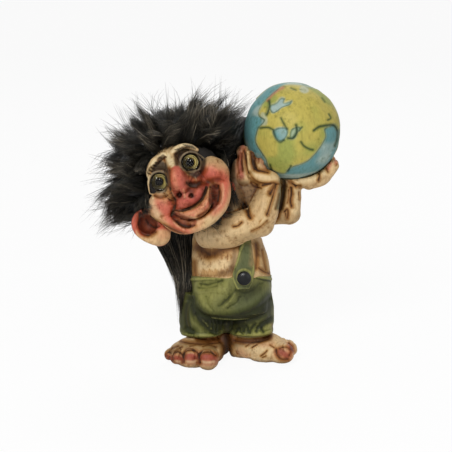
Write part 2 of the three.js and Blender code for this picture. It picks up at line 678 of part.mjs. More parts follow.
/** A foot with the pin that goes up into the leg. */
function makeFoot(side) {
  const shapes = side === 'right' ? rightFootShapes() : leftFootShapes();
  const top = hemHeight + cuffHollow - glueGap;
  const peg = pin(V(legX[side], legY, top - 3), V(0, 0, 1), anklePinRadius, anklePinLength + 3 - glueGap);
  return footSolid(shapes)
    .subtract(toSolid(halfSpace(V(0, 0, top), V(0, 0, 1))))
    .add(toSolid(peg));
}

/** The right arm, cut to sit on the chest, under the chin and against the globe. */
function makeRightArm() {
  return joined(rightArmShapes())
    .subtract(torsoBlank(glueGap))
    .subtract(headBlank(glueGap, headFrame))
    .subtract(globeBlank(glueGap))
    .add(toSolid(armPin('right')).subtract(headBlank(glueGap, headFrame)));
}

/** The left arm, cut to sit on the chest, behind the right arm and under the globe. */
function makeLeftArm() {
  return joined(leftArmShapes())
    .subtract(torsoBlank(glueGap))
    .subtract(joined(rightArmShapes(glueGap)))
    .subtract(globeBlank(glueGap))
    .add(toSolid(armPin('left')));
}

/** The head casting in its own frame, with its hollows, eye pockets and neck pocket. */
function makeHead() {
  const neckPocket = pin(neckPinRoot(), neckDirection(), neckPinRadius, neckPinLength + glueGap, glueGap)
    .applyMatrix4(bodyToHead);
  let solid = headBlank().subtract(joined(faceHollows())).subtract(toSolid(neckPocket));
  for (const centre of Object.values(eyeSpread)) {
    solid = solid.subtract(toSolid(eyeBead(centre, backingDepth, glassDepth, glueGap)));
  }
  for (const [centre, side] of [[rightEarCentre, -1], [leftEarCentre, 1]]) {
    solid = solid.subtract(toSolid(earPin(centre, side, glueGap)));
  }
  return solid;
}

/** A round bead on the eye's axis, from its back to its front. */
function eyeBead(centre, back, front, grow = 0) {
  const radius = eyeRadius + grow;
  const bead = new THREE.CylinderGeometry(radius, radius, back + front + 2 * grow, facets.lathe);
  return bead.translate(0, (back - front) / 2, 0).translate(centre.x, centre.y, centre.z);
}

/** An ear's pin, from the ear into the side of the head. */
function earPin(centre, side, grow = 0) {
  const from = V(centre.x - side * 2, centre.y + 0.5, centre.z + 1);
  return pin(from, V(-side, 0.15, 0.1), earPinRadius, earPinLength, grow);
}

/** One ear in the head's frame. */
function makeEar(centre, side) {
  let solid = joined(earShapes(centre, side))
    .subtract(toSolid(earBowl(centre, side)))
    .subtract(headBlank(glueGap));
  if (side > 0) solid = solid.subtract(joined(rightArmShapes(glueGap), bodyToHead));
  return solid.add(toSolid(earPin(centre, side)));
}

/** The clear front of an eye, a shallow dome with a flat back. */
function makeGlass(centre) {
  const profile = new THREE.Path();
  profile.moveTo(0, 0);
  profile.lineTo(eyeRadius - glueGap, 0);
  profile.lineTo(eyeRadius - glueGap, 0.5);
  profile.quadraticCurveTo(eyeRadius * 0.72, glassDepth, 0, glassDepth);
  const dome = new THREE.LatheGeometry(profile.getPoints(3), facets.lathe);
  dome.rotateX(Math.PI);
  return toSolid(dome.translate(centre.x, centre.y - glueGap / 2, centre.z));
}

/** The painted bead behind the glass, with a flat front for the iris. */
function makeBacking(centre) {
  const profile = new THREE.Path();
  profile.moveTo(0, 0);
  profile.lineTo(eyeRadius - glueGap, 0);
  profile.quadraticCurveTo(eyeRadius * 0.9, backingDepth, 0, backingDepth);
  const bead = new THREE.LatheGeometry(profile.getPoints(3), facets.lathe);
  return toSolid(bead.translate(centre.x, centre.y + glueGap / 2, centre.z));
}

/** The globe: a sea ball with raised land. */
function makeGlobe() {
  const sea = toSolid(globeBall(globeRadius));
  const patch = (azimuth, height, size) => {
    const out = V(0, -globeRadius, 0).applyEuler(new THREE.Euler(rad(-height), 0, rad(azimuth), 'ZXY'));
    return lump(globeCentre.clone().add(out), V(size, size, size), 0, [0, 0, 0], facets.limb);
  };
  const patches = [[-16, -30, 15], [-12, 3, 13], [16, 6, 15], [12, 36, 15], [-30, -8, 7], [46, -2, 8],
    [150, 20, 15], [172, -22, 13], [205, 34, 13]];
  const crust = globeBlank();
  return sea.add(joined(patches.map(([a, h, r]) => patch(a, h, r))).intersect(crust));
}

/** The two bodies that the brace lies on, as one. */
function bodyUnder(grow) {
  return torsoBlank(grow).add(trousersSolid(grow));
}

/** A brace: a thin strap laid on the body, inside an outline seen from the front. */
function braceFrom(outline, facing) {
  const shape = new THREE.Shape(outline.map(([x, z]) => new THREE.Vector2(x, z)));
  const prism = new THREE.ExtrudeGeometry(shape, { depth: bigSpan / 4, bevelEnabled: false });
  prism.rotateX(Math.PI / 2);
  if (facing === 'back') prism.translate(0, bigSpan / 4, 0);
  return bodyUnder(glueGap + braceThickness)
    .subtract(bodyUnder(glueGap))
    .intersect(toSolid(prism))
    .subtract(joined(rightArmShapes(glueGap)))
    .subtract(joined(leftArmShapes(glueGap)));
}

/** The front brace, narrow under the arm and wide at its six-sided tab. */
function makeFrontBrace() {
  const { x, z } = buttonCentre;
  const outline = [[x - 1.6, z + 18], [x - 3.2, z + 10], [x - 5.8, z + 1.6], [x - 5.2, z - 2.6],
    [x - 3.6, z - 6], [x + 2.6, z - 6.4], [x + 4.6, z - 2.6], [x + 5.6, z + 1.6], [x + 4.8, z + 10],
    [x + 3.6, z + 18]];
  return braceFrom(outline, 'front').subtract(toSolid(buttonShank(glueGap)));
}

/** The back brace, from the waistband up to the left shoulder. */
function makeBackBrace() {
  const { x, z } = waistCentre;
  const outline = [[x + 2, z - 6], [x + 8, z - 5.4], [x + 12.6, z + 16], [x + 12, z + 32], [x + 7.2, z + 32],
    [x + 8.2, z + 17]];
  return braceFrom(outline, 'back').subtract(joined([napeShape(glueGap)]));
}

/** How far forward the brace's face lies under the button. */
function buttonSeat() {
  const reach = pin(V(buttonCentre.x, 0, buttonCentre.z), V(0, -1, 0), buttonRadius, bigSpan / 4);
  return frontOf(bodyUnder(glueGap + braceThickness).intersect(toSolid(reach))) - glueGap;
}

/** The button's shank, from inside the button into the brace. */
function buttonShank(grow = 0) {
  const from = V(buttonCentre.x, buttonSeat() - shankRoot, buttonCentre.z);
  return pin(from, V(0, 1, 0), shankRadius, shankRoot + shankLength, grow, facets.small);
}

/** The button: a polished dome with a flat back and a shank. */
function makeButton() {
  const profile = new THREE.Path();
  profile.moveTo(0, 0);
  profile.lineTo(buttonRadius, 0);
  profile.lineTo(buttonRadius, 0.4);
  profile.quadraticCurveTo(buttonRadius * 0.8, buttonDome, 0, buttonDome);
  const dome = new THREE.LatheGeometry(profile.getPoints(3), facets.lathe);
  dome.rotateX(Math.PI);
  return toSolid(dome.translate(buttonCentre.x, buttonSeat(), buttonCentre.z)).add(toSolid(buttonShank()));
}

/** The cloth backing of the wig, a shell over the back of the skull. */
function makeWigCap() {
  return capBlank()
    .subtract(headBlank(glueGap))
    .intersect(toSolid(halfSpace(V(0, hairlineDepth, 0), V(0, 1, 0))))
    .subtract(earsBlank(glueGap))
    .subtract(joined(torsoShapes(glueGap), bodyToHead));
}

/** The mane, cut by everything that it lies against. */
function makeMane() {
  return toSolid(maneShape())
    .subtract(capBlank(glueGap))
    .subtract(headBlank(glueGap))
    .subtract(earsBlank(glueGap))
    .subtract(joined(torsoShapes(glueGap), bodyToHead))
    .subtract(joined(rightArmShapes(glueGap), bodyToHead))
    .subtract(joined(leftArmShapes(glueGap), bodyToHead))
    .subtract(globeBlank(glueGap, bodyToHead));
}

/** The back hair, hanging below the mane against the back. */
function makeNapeHair() {
  return joined([napeShape()])
    .subtract(joined([maneShape(glueGap)], headFrame))
    .subtract(capBlank(glueGap, headFrame))
    .subtract(skullBlank(glueGap, headFrame))
    .subtract(earsBlank(glueGap, headFrame))
    .subtract(torsoBlank(glueGap))
    .subtract(trousersSolid(glueGap))
    .subtract(joined(rightArmShapes(glueGap)))
    .subtract(joined(leftArmShapes(glueGap)));
}

/** Makes one named piece with its colour and finish. */
function piece(name, solid, colour, roughness, parent) {
  const material = new THREE.MeshStandardMaterial({ color: colour, roughness, metalness: 0 });
  const mesh = new THREE.Mesh(toGeometry(solid), material);
  mesh.name = name;
  parent.add(mesh);
  return mesh;
}

const skinColour = 0xcbb184;
const blushColour = 0xcf7a60;
const clothColour = 0x6b7238;
const hairColour = 0x1e1a18;

const figurine = new THREE.Group();
const head = new THREE.Group();
head.applyMatrix4(headFrame);
figurine.add(head);

piece('trousers', makeTrousers(), clothColour, 0.6, figurine);
piece('torso', makeTorso(), skinColour, 0.6, figurine);
piece('right_foot', makeFoot('right'), skinColour, 0.6, figurine);
piece('left_foot', makeFoot('left'), skinColour, 0.6, figurine);
piece('right_arm', makeRightArm(), skinColour, 0.6, figurine);
piece('left_arm', makeLeftArm(), skinColour, 0.6, figurine);
piece('globe', makeGlobe(), 0xb9b35c, 0.5, figurine);
piece('front_brace', makeFrontBrace(), clothColour, 0.6, figurine);
piece('back_brace', makeBackBrace(), clothColour, 0.6, figurine);
piece('brace_button', makeButton(), 0x14161a, 0.2, figurine);
piece('nape_hair', makeNapeHair(), hairColour, 0.9, figurine);
piece('head', makeHead(), blushColour, 0.6, head);
piece('right_ear', makeEar(rightEarCentre, -1), blushColour, 0.6, head);
piece('left_ear', makeEar(leftEarCentre, 1), blushColour, 0.6, head);
for (const [side, centre] of Object.entries(eyeSpread)) {
  piece(`${side}_eye_glass`, makeGlass(centre), 0xf4f4f0, 0.05, head);
  piece(`${side}_eye_backing`, makeBacking(centre), 0x8a7434, 0.4, head);
}
piece('wig_cap', makeWigCap(), 0x2b2622, 0.9, head);
piece('crown_hair', makeMane(), hairColour, 0.9, head);

// The origin goes to the middle of the figure's footprint box, on the floor
const extent = new THREE.Box3().setFromObject(figurine, true);
const middle = extent.getCenter(V(0, 0, 0));
figurine.position.set(-middle.x, -middle.y, -extent.min.z);

export default figurine;
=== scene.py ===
"""Visual model of a folk troll that holds up a globe: painted castings, glass eyes and a fur wig.

Every size is in millimetres in the figure's design frame, unless its name says otherwise: x to the
troll's left, y backwards, z up from the floor. Carving and brushwork are laid out on a front sheet,
the figure seen from the camera, whose steps are 0.535 mm and run right and down from its corner.
"""
from __future__ import annotations

import logging
import math
from dataclasses import dataclass
from enum import Enum
from typing import Iterable, Sequence

import bpy
import numpy as np
from mathutils import Euler, Matrix, Vector


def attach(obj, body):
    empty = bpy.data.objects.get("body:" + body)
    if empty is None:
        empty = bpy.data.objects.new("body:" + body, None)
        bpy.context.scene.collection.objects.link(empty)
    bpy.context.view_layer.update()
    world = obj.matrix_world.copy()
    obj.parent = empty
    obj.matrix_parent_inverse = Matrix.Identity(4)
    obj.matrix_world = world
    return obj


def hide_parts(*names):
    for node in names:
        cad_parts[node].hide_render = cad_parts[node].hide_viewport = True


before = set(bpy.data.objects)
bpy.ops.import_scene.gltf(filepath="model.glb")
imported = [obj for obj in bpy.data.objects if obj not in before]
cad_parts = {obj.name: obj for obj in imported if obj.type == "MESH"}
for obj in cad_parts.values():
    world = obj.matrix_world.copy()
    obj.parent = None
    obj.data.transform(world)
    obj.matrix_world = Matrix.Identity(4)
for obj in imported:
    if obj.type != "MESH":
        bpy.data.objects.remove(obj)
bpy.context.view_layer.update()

log = logging.getLogger("troll")

MM = 0.001
ROW_SHIFT = Vector((4.932, 9.142, 0.0))
TO_ROW = Matrix.Scale(MM, 4) @ Matrix.Translation(ROW_SHIFT)
HEAD = (Matrix.Translation((-27.3, -32.0, 108.5))
        @ Matrix.Rotation(math.radians(-13), 4, "X") @ Matrix.Rotation(math.radians(-30), 4, "Y"))
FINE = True
VOXEL = 0.42 if FINE else 0.6

# Places that pieces share, in millimetres; the skull is its middle and its radii, in the head's frame

GLOBE_CENTRE = (33.7, 2, 123.5)
SKULL = ((0.5, 19, -1), (21.5, 21, 23))
WAIST = (1.6, -6, 46.8)
WAIST_TILT = 10.0
LEGS = (-14, 12.4)
LEG_Y = -4.5

Array = np.ndarray
Point = tuple[float, float, float]


def linear(code: str) -> Array:
    """Linear red, green and blue of a six-figure sRGB code."""
    rgb = np.array([int(code[i:i + 2], 16) / 255 for i in (0, 2, 4)])
    return np.where(rgb <= 0.04045, rgb / 12.92, ((rgb + 0.055) / 1.055) ** 2.4)


def rgba(code: str) -> tuple[float, float, float, float]:
    """The same colour as a socket's value."""
    return (*linear(code).tolist(), 1.0)


def smooth(low: float, high: float, value: Array) -> Array:
    """Soft step from 0 at low to 1 at high."""
    t = np.clip((value - low) / (high - low), 0.0, 1.0)
    return t * t * (3 - 2 * t)


class Paint(Enum):
    """The paints on the castings."""

    CREAM = "cdad7e"
    PALE = "e0ca9e"
    PEACH = "cc936a"
    SALMON = "bf5f4a"
    ROSE = "b25247"
    BRICK = "8c3f2c"
    MAROON = "561f17"
    BROWN = "573619"
    UMBER = "33241a"
    SOOT = "1d1610"
    SHADE = "32200f"
    LID = "8a775c"
    STRAW = "a08358"
    OLIVE = "6f6f3e"
    MOSS = "979452"
    DEEP = "2a2e15"
    PINE = "47523a"
    OCHRE = "b7a852"
    GRASS = "8f9a4c"
    SEA = "609092"
    PALE_SEA = "a9b8ae"
    COAST = "2c3d30"
    REEF = "b06a58"
    # the skin's glaze also darkens the painted shade
    SKIN_GLAZE = "ad8b60"
    CLOTH_GLAZE = "8c9166"
    GLOBE_GLAZE = "8ea08f"

    @property
    def rgb(self) -> Array:
        """The paint's linear colour."""
        return linear(self.value)


class Grain:
    """Smooth seeded noise, from -1 to 1, for uneven carving and brushwork."""

    SIZE = 32
    OFFSET = 7.3
    STRENGTH = 1.6

    def __init__(self, seed: int) -> None:
        """Fill the table that the noise is read from."""
        self.table = np.random.default_rng(seed).uniform(-1, 1, (self.SIZE,) * 3)

    def at(self, points: Array, cell: float | Sequence[float]) -> Array:
        """Noise at points.

        Args:
            points: Positions in millimetres.
            cell: Size of the pattern, one for all axes or one for each.

        Returns:
            One value a point.
        """
        place = points / np.asarray(cell, float) + self.OFFSET
        low = np.floor(place).astype(int)
        part = place - low
        part = part * part * (3 - 2 * part)
        total = np.zeros(len(points))
        for corner in range(8):
            bits = np.array([corner >> k & 1 for k in range(3)])
            weight = np.prod(np.where(bits, part, 1 - part), axis=1)
            x, y, z = ((low + bits) % self.SIZE).T
            total += weight * self.table[x, y, z]
        return total * self.STRENGTH


class FrontSheet:
    """The figure seen from the camera, as a drawing sheet."""

    STEPS = 452
    STEP = 0.535
    TILT = math.radians(13)
    DISTANCE = 800.0
    AIM = Vector((-1.07, 0.0, 72.38))

    def __init__(self) -> None:
        """Work out the camera's place and its three directions."""
        self.ahead = Vector((0, math.cos(self.TILT), -math.sin(self.TILT)))
        self.upward = Vector((0, math.sin(self.TILT), math.cos(self.TILT)))
        self.eye = self.AIM - self.ahead * self.DISTANCE

    def project(self, points: Array) -> Array:
        """Sheet places, in steps, of points in the design frame."""
        seen = points - np.array(self.eye)
        depth = seen @ np.array(self.ahead)
        scale = self.DISTANCE / self.STEP / depth
        half = self.STEPS / 2
        return np.stack([half + seen[:, 0] * scale, half - (seen @ np.array(self.upward)) * scale], axis=1)


SHEET = FrontSheet()


# Modelling


def clear_selection() -> None:
    """Leave object mode with nothing selected."""
    if bpy.context.object and bpy.context.object.mode != "OBJECT":
        bpy.ops.object.mode_set(mode="OBJECT")
    bpy.ops.object.select_all(action="DESELECT")


def pick(obj: bpy.types.Object) -> None:
    """Make an object the only one selected."""
    clear_selection()
    obj.select_set(True)
    bpy.context.view_layer.objects.active = obj


def apply(obj: bpy.types.Object, kind: str, **settings: object) -> None:
    """Add a modifier with settings and apply it."""
    pick(obj)
    modifier = obj.modifiers.new(kind.title(), kind)
    for name, value in settings.items():
        setattr(modifier, name, value)
    bpy.ops.object.modifier_apply(modifier=modifier.name)


def cut(obj: bpy.types.Object, cutter: bpy.types.Object, how: str = "DIFFERENCE") -> None:
    """Cut an object with another one, which is then deleted."""
    apply(obj, "BOOLEAN", object=cutter, operation=how, solver="MANIFOLD")
    bpy.data.objects.remove(cutter)


def soften(obj: bpy.types.Object, rounds: int) -> None:
    """Smooth the surface a number of times."""
    apply(obj, "SMOOTH", factor=0.5, iterations=rounds)


def recast(obj: bpy.types.Object, voxel: float) -> None:
    """Rebuild an object's skin as one even, closed mesh."""
    apply(obj, "REMESH", mode="VOXEL", voxel_size=voxel, use_smooth_shade=True)


class Clay:
    """Lumps and rolls of clay that are pressed into one form."""

    def __init__(self, name: str, place: Matrix | None = None) -> None:
        """Start an empty form.

        Args:
            name: The piece's name.
            place: Moves the form into the design frame.
        """
        self.name = name
        self.place = place or Matrix.Identity(4)
        self.bits: list[bpy.types.Object] = []

    def lump(
        self, centre: Sequence[float], radii: Sequence[float], turn: Sequence[float] = (0, 0, 0),
    ) -> Clay:
        """Add an ellipsoid, turned by degrees about x, y and z."""
        clear_selection()
        bpy.ops.mesh.primitive_uv_sphere_add(segments=32, ring_count=20, radius=1.0)
        ball = bpy.context.object
        turned = Euler([math.radians(a) for a in turn]).to_matrix().to_4x4()
        ball.data.transform(Matrix.Translation(centre) @ turned @ Matrix.Diagonal((*radii, 1.0)))
        self.bits.append(ball)
        return self

    def rod(self, start: Sequence[float], end: Sequence[float], radius: float) -> Clay:
        """Add a round rod between two points."""
        clear_selection()
        axis = Vector(end) - Vector(start)
        bpy.ops.mesh.primitive_cylinder_add(vertices=48, radius=radius, depth=axis.length)
        rod = bpy.context.object
        turned = Vector((0, 0, 1)).rotation_difference(axis).to_matrix().to_4x4()
        rod.data.transform(Matrix.Translation((Vector(start) + Vector(end)) / 2) @ turned)
        self.bits.append(rod)
        return self

    def roll(self, points: Sequence[Point], radii: Sequence[float]) -> Clay:
        """Add a rounded roll along points, with a radius at each."""
        clear_selection()
        bpy.ops.curve.primitive_bezier_curve_add()
        curve = bpy.context.object
        spline = curve.data.splines[0]
        spline.bezier_points.add(len(points) - 2)
        for knot, point, radius in zip(spline.bezier_points, points, radii):
            knot.co = point
            knot.radius = radius
            knot.handle_left_type = knot.handle_right_type = "AUTO"
        curve.data.dimensions = "3D"
        curve.data.bevel_depth = 1.0
        curve.data.bevel_resolution = 6
        curve.data.resolution_u = 8
        curve.data.use_fill_caps = True
        bpy.ops.object.convert(target="MESH")
        self.bits.append(bpy.context.object)
        for point, radius in ((points[0], radii[0]), (points[-1], radii[-1])):
            self.lump(point, (radius,) * 3)
        return self

    def stack(self, sections: Sequence[tuple[float, float, float, float, float]]) -> Clay:
        """Add a body of level oval sections.

        Args:
            sections: Height, centre x, centre y and the two half widths, from the lowest up.

        Returns:
            The same form.
        """
        clear_selection()
        z, x, y, rx, ry = sections[0]
        bpy.ops.mesh.primitive_circle_add(vertices=48, radius=1.0, fill_type="NGON")
        body = bpy.context.object
        body.data.transform(Matrix.Translation((x, y, z)) @ Matrix.Diagonal((rx, ry, 1, 1)))
        bpy.ops.object.mode_set(mode="EDIT")
        for low, high in zip(sections, sections[1:]):
            move = (high[1] - low[1], high[2] - low[2], high[0] - low[0])
            bpy.ops.mesh.extrude_region_move(TRANSFORM_OT_translate={"value": move})
            bpy.ops.transform.resize(value=(high[3] / low[3], high[4] / low[4], 1),
                                     center_override=(high[1], high[2], high[0]))
        bpy.ops.mesh.select_all(action="SELECT")
        bpy.ops.mesh.normals_make_consistent(inside=False)
        bpy.ops.object.mode_set(mode="OBJECT")
        self.bits.append(body)
        return self

    def slab(self, centre: Sequence[float], size: Sequence[float], turn: Sequence[float] = (0, 0, 0)) -> Clay:
        """Add a block, turned by degrees about x, y and z."""
        clear_selection()
        bpy.ops.mesh.primitive_cube_add(size=1.0)
        block = bpy.context.object
        turned = Euler([math.radians(a) for a in turn]).to_matrix().to_4x4()
        block.data.transform(Matrix.Translation(centre) @ turned @ Matrix.Diagonal((*size, 1.0)))
        self.bits.append(block)
        return self

    def pressed(self, rounds: int = 6, voxel: float = VOXEL) -> bpy.types.Object:
        """Press everything into one closed form in the design frame.

        Args:
            rounds: How often the joins are smoothed.
            voxel: The size of the mesh's cells.

        Returns:
            The form.
        """
        clear_selection()
        for bit in self.bits:
            bit.select_set(True)
        bpy.context.view_layer.objects.active = self.bits[0]
        bpy.ops.object.join()
        form = bpy.context.object
        form.name = form.data.name = self.name
        form.data.transform(self.place)
        recast(form, voxel)
        if rounds:
            soften(form, rounds)
        return form


def finished(obj: bpy.types.Object, slot: str, material: bpy.types.Material, *nodes: str) -> bpy.types.Object:
    """Move a form into the row frame and make it a piece of the object.

    Args:
        obj: The form, in the design frame.
        slot: The record's material slot; not used.
        material: Its finish.
        nodes: The solids that it stands for.

    Returns:
        The piece.
    """
    obj.data.transform(TO_ROW)
    obj.data.materials.clear()
    obj.data.materials.append(material)
    obj.data.polygons.foreach_set("use_smooth", [len(face.vertices) < 9 for face in obj.data.polygons])
    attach(obj, "root")
    if nodes:
        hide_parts(*nodes)
    log.info("%s: %d faces", obj.name, len(obj.data.polygons))
    return obj


# Carving and painting


@dataclass(frozen=True)
class Mark:
    """A stroke, dab or filled patch on the front sheet, in its steps."""

    line: Sequence[Sequence[float]]
    width: float = 1.0
    soft: float = 1.0
    filled: bool = False

    def points(self) -> Array:
        """The line's points, with curved steps between them."""
        knots = np.array(self.line, float)
        if len(knots) < 3:
            return knots
        if self.filled:
            knots = np.vstack([knots[-1:], knots, knots[:2]])
        else:
            knots = np.vstack([2 * knots[0] - knots[1], knots, 2 * knots[-1] - knots[-2]])
        rows = []
        for a, b, c, d in zip(knots, knots[1:], knots[2:], knots[3:]):
            for t in (0.0, 0.25, 0.5, 0.75):
                rows.append(0.5 * (2 * b + (c - a) * t + (2 * a - 5 * b + 4 * c - d) * t * t
                                   + (3 * b - a - 3 * c + d) * t ** 3))
        if not self.filled:
            rows.append(knots[-2])
        return np.array(rows)

    def mask(self, places: Array) -> Array:
        """How strongly the mark covers each place, from 0 to 1."""
        line = self.points()
        reach = self.width * (1 + self.soft) + (0 if not self.filled else self.width)
        near = np.all((places > line.min(0) - reach) & (places < line.max(0) + reach), axis=1)
        cover = np.zeros(len(places))
        spots = places[near]
        if not len(spots):
            return cover
        if len(line) == 1:
            distance = np.linalg.norm(spots - line[0], axis=1)
        else:
            ends = np.roll(line, -1, axis=0) if self.filled else line[1:]
            starts = line if self.filled else line[:-1]
            distance = np.full(len(spots), np.inf)
            for a, b in zip(starts, ends):
                side = b - a
                t = np.clip((spots - a) @ side / max(side @ side, 1e-9), 0, 1)
                distance = np.minimum(distance, np.linalg.norm(spots - a - t[:, None] * side, axis=1))
        if not self.filled:
            inner, outer = self.width * (1 - min(self.soft, 1)), self.width * (1 + self.soft)
            cover[near] = 1 - smooth(inner, outer, distance)
            return cover
        inside = np.zeros(len(spots), bool)
        for (ax, ay), (bx, by) in zip(line, np.roll(line, -1, axis=0)):
            crosses = (ay > spots[:, 1]) != (by > spots[:, 1])
            at = ax + (spots[:, 1] - ay) * (bx - ax) / (by - ay if by != ay else 1e-9)
            inside ^= crosses & (spots[:, 0] < at)
        cover[near] = smooth(-self.width, self.width, np.where(inside, distance, -distance))
        return cover


class Carving:
    """A form's surface while it is carved, antiqued and painted."""

    SPREAD = 2.3
    INK = 0.62
    COATS = 1.7

    def __init__(self, obj: bpy.types.Object, ground: Paint, glaze: Paint) -> None:
        """Read the form's skin and give it its ground colour and the glaze that stains its hollows and
        darkens its painted shade.
        """
        self.mesh = obj.data
        self.glaze = glaze
        count = len(self.mesh.vertices)
        flat = np.empty(count * 3)
        self.mesh.vertices.foreach_get("co", flat)
        self.points = flat.reshape(-1, 3)
        pairs = np.empty(len(self.mesh.edges) * 2, int)
        self.mesh.edges.foreach_get("vertices", pairs)
        self.ends = pairs.reshape(-1, 2).T
        self.links = np.maximum(np.bincount(pairs, minlength=count), 1)
        self.colour = np.tile(ground.rgb, (count, 1))
        self.wash = np.zeros(count)
        # stain in the hollows together with painted shade, both darkened with the glaze
        self.stain_and_shade = np.zeros(count)
        self.refresh()

    def refresh(self) -> None:
        """Read the directions of the skin again, and its places on the sheet."""
        self.mesh.update()
        flat = np.empty(len(self.points) * 3, np.float32)
        self.mesh.vertex_normals.foreach_get("vector", flat)
        self.normals = flat.reshape(-1, 3).astype(float)
        self.sheet = SHEET.project(self.points)
        self.facing = smooth(-0.05, 0.12, -(self.normals @ np.array(SHEET.ahead)))

    def cover(self, mark: Mark) -> Array:
        """Where a mark lies on the skin that the camera sees."""
        return mark.mask(self.sheet) * self.facing

    def press(self, depths: Array) -> None:
        """Push the skin in by depths in millimetres, or out where they are below zero."""
        self.points = self.points - self.normals * depths[:, None]
        self.mesh.vertices.foreach_set("co", self.points.ravel())
        self.refresh()

    def carve(self, strokes: Iterable[tuple[float, float, Sequence[Sequence[float]]]]) -> None:
        """Carve strokes: each is its width, its depth in millimetres and its line."""
        depths = np.zeros(len(self.points))
        for width, depth, line in strokes:
            depths += self.cover(Mark(line, width)) * depth
        self.press(depths)

    def crease(self, strokes: Iterable[tuple[float, float, float, Sequence[Sequence[float]]]]) -> None:
        """Carve strokes that also hold dark wash: width, depth, strength of the wash and line."""
        depths = np.zeros(len(self.points))
        for width, depth, strength, line in strokes:
            cover = self.cover(Mark(line, width))
            depths += cover * depth
            self.wash = np.maximum(self.wash, cover ** 2 * strength * self.INK)
            halo = self.cover(Mark(line, width * self.SPREAD)) ** 1.4 * strength * 0.75
            self.stain_and_shade = np.maximum(self.stain_and_shade, halo)
        self.press(depths)

    def shade(self, strength: float, *marks: Mark) -> None:
        """Paint soft shade under marks, darkening the skin with the glaze."""
        for mark in marks:
            self.stain_and_shade = 1 - (1 - self.stain_and_shade) * (1 - self.cover(mark) * strength)

    def roughen(self, seed: int, coarse: float = 0.26, fine: float = 0.1) -> None:
        """Make the skin uneven, as a hand-modelled one is.

        Args:
            seed: Picks the pattern.
            coarse: Height of the wide swells, in millimetres.
            fine: Height of the small ones.
        """
        grain = Grain(seed)
        self.press(grain.at(self.points, 6.5) * coarse + grain.at(self.points, 2.4) * fine)

    def paint(self, table: str) -> None:
        """Paint the rows of a table: paint, strength, kind of mark, its width or edge, and its softness."""
        for (paint, strength, kind, width, *soft), line in rows_of(table):
            mark = Mark(line, float(width), *map(float, soft), filled=kind == "patch")
            self.tint(Paint[paint], self.cover(mark) * float(strength))

    def brush(self, paint: Paint, strength: float, *marks: Mark) -> None:
        """Paint marks in a colour."""
        for mark in marks:
            self.tint(paint, self.cover(mark) * strength)

    def tint(self, paint: Paint, cover: Array) -> None:
        """Paint a colour where a cover says."""
        share = np.clip(cover, 0, 1)[:, None]
        self.colour = self.colour * (1 - share) + paint.rgb * share

    def blurred(self, values: Array, rounds: int) -> Array:
        """Values averaged with their neighbours a number of times."""
        a, b = self.ends
        for _ in range(rounds):
            if values.ndim == 1:
                total = np.bincount(a, values[b], len(values)) + np.bincount(b, values[a], len(values))
                values = 0.5 * values + 0.5 * total / self.links
            else:
                values = np.stack([self.blurred(column, 1) for column in values.T], axis=1)
        return values

    def hollows(self, rounds: int) -> Array:
        """How far the skin lies below its smoothed self, in millimetres."""
        return np.sum((self.blurred(self.points, rounds) - self.points) * self.normals, axis=1)

    def age(self, fine: float = 1.0, broad: float = 1.0) -> None:
        """Settle dark wash into hollows.

        Args:
            fine: Strength in small creases.
            broad: Strength in wide hollows.
        """
        small = self.hollows(6 if FINE else 3)
        wide = self.hollows(50 if FINE else 24)
        self.ridges = smooth(0.05, 0.22, -small)
        self.wash = np.clip(self.wash + fine * 0.5 * smooth(0.02, 0.14, small), 0, 1)
        deep = np.clip(fine * 0.6 * smooth(0.01, 0.1, small) + broad * smooth(0.12, 1.2, wide), 0, 1)
        self.stain_and_shade = 1 - (1 - self.stain_and_shade) * (1 - deep * 0.85)

    def commit(self) -> None:
        """Store colour, wash and ridges on the mesh for its finish to read, with the glaze laid on where the
        hollows are stained and where shade is painted.
        """
        coats = self.COATS * np.clip(self.stain_and_shade, 0, 1)[:, None]
        self.colour = self.colour * self.glaze.rgb ** coats
        for name, values in (("wash", self.wash), ("ridge", self.ridges)):
            layer = self.mesh.attributes.new(name, "FLOAT", "POINT")
            layer.data.foreach_set("value", values.astype(np.float32))
        layer = self.mesh.attributes.new("paint", "FLOAT_COLOR", "POINT")
        full = np.hstack([self.colour, np.ones((len(self.colour), 1))])
        layer.data.foreach_set("color", full.astype(np.float32).ravel())


# Finishes


class Graph:
    """Shorthand for laying out the nodes of a material or a group."""

    def __init__(self, tree: bpy.types.NodeTree) -> None:
        """Work on a tree."""
        self.tree = tree

    def add(
        self, kind: str, inputs: dict[str | int, object] | None = None, **settings: object,
    ) -> bpy.types.Node:
        """Add a node.

        Args:
            kind: The node's type without its prefix.
            inputs: Values or output sockets for its inputs.
            settings: The node's own settings.

        Returns:
            The node.
        """
        node = self.tree.nodes.new(kind if kind.startswith("Node") else f"ShaderNode{kind}")
        for name, value in settings.items():
            setattr(node, name, value)
        for key, value in (inputs or {}).items():
            if isinstance(value, bpy.types.NodeSocket):
                self.tree.links.new(value, node.inputs[key])
            else:
                node.inputs[key].default_value = value
        return node

    def math(self, how: str, *values: object) -> bpy.types.NodeSocket:
        """A sum, product or other figure of one to three values."""
        return self.add("Math", dict(enumerate(values)), operation=how).outputs[0]

    def span(self, value: object, low: float, high: float) -> bpy.types.NodeSocket:
        """A value mapped smoothly from a range to another."""
        node = self.add("MapRange", {0: value, 1: low, 2: high}, interpolation_type="SMOOTHSTEP")
        return node.outputs[0]

    def blend(self, share: object, first: object, second: object, how: str = "MIX") -> bpy.types.NodeSocket:
        """Two colours blended."""
        node = self.add("Mix", {0: share, 6: first, 7: second}, data_type="RGBA", blend_type=how)
        return node.outputs[2]

    def noise(
        self, where: object, scale: float, detail: float = 3.0, rough: float = 0.55,
    ) -> bpy.types.NodeSocket:
        """Noise at a place."""
        node = self.add("TexNoise", {"Vector": where, "Scale": scale, "Detail": detail, "Roughness": rough})
        return node.outputs[0]

    def stretched(self, where: object, scale: Sequence[float]) -> bpy.types.NodeSocket:
        """A place stretched along the axes."""
        return self.add("Mapping", {"Vector": where, "Scale": scale}).outputs[0]


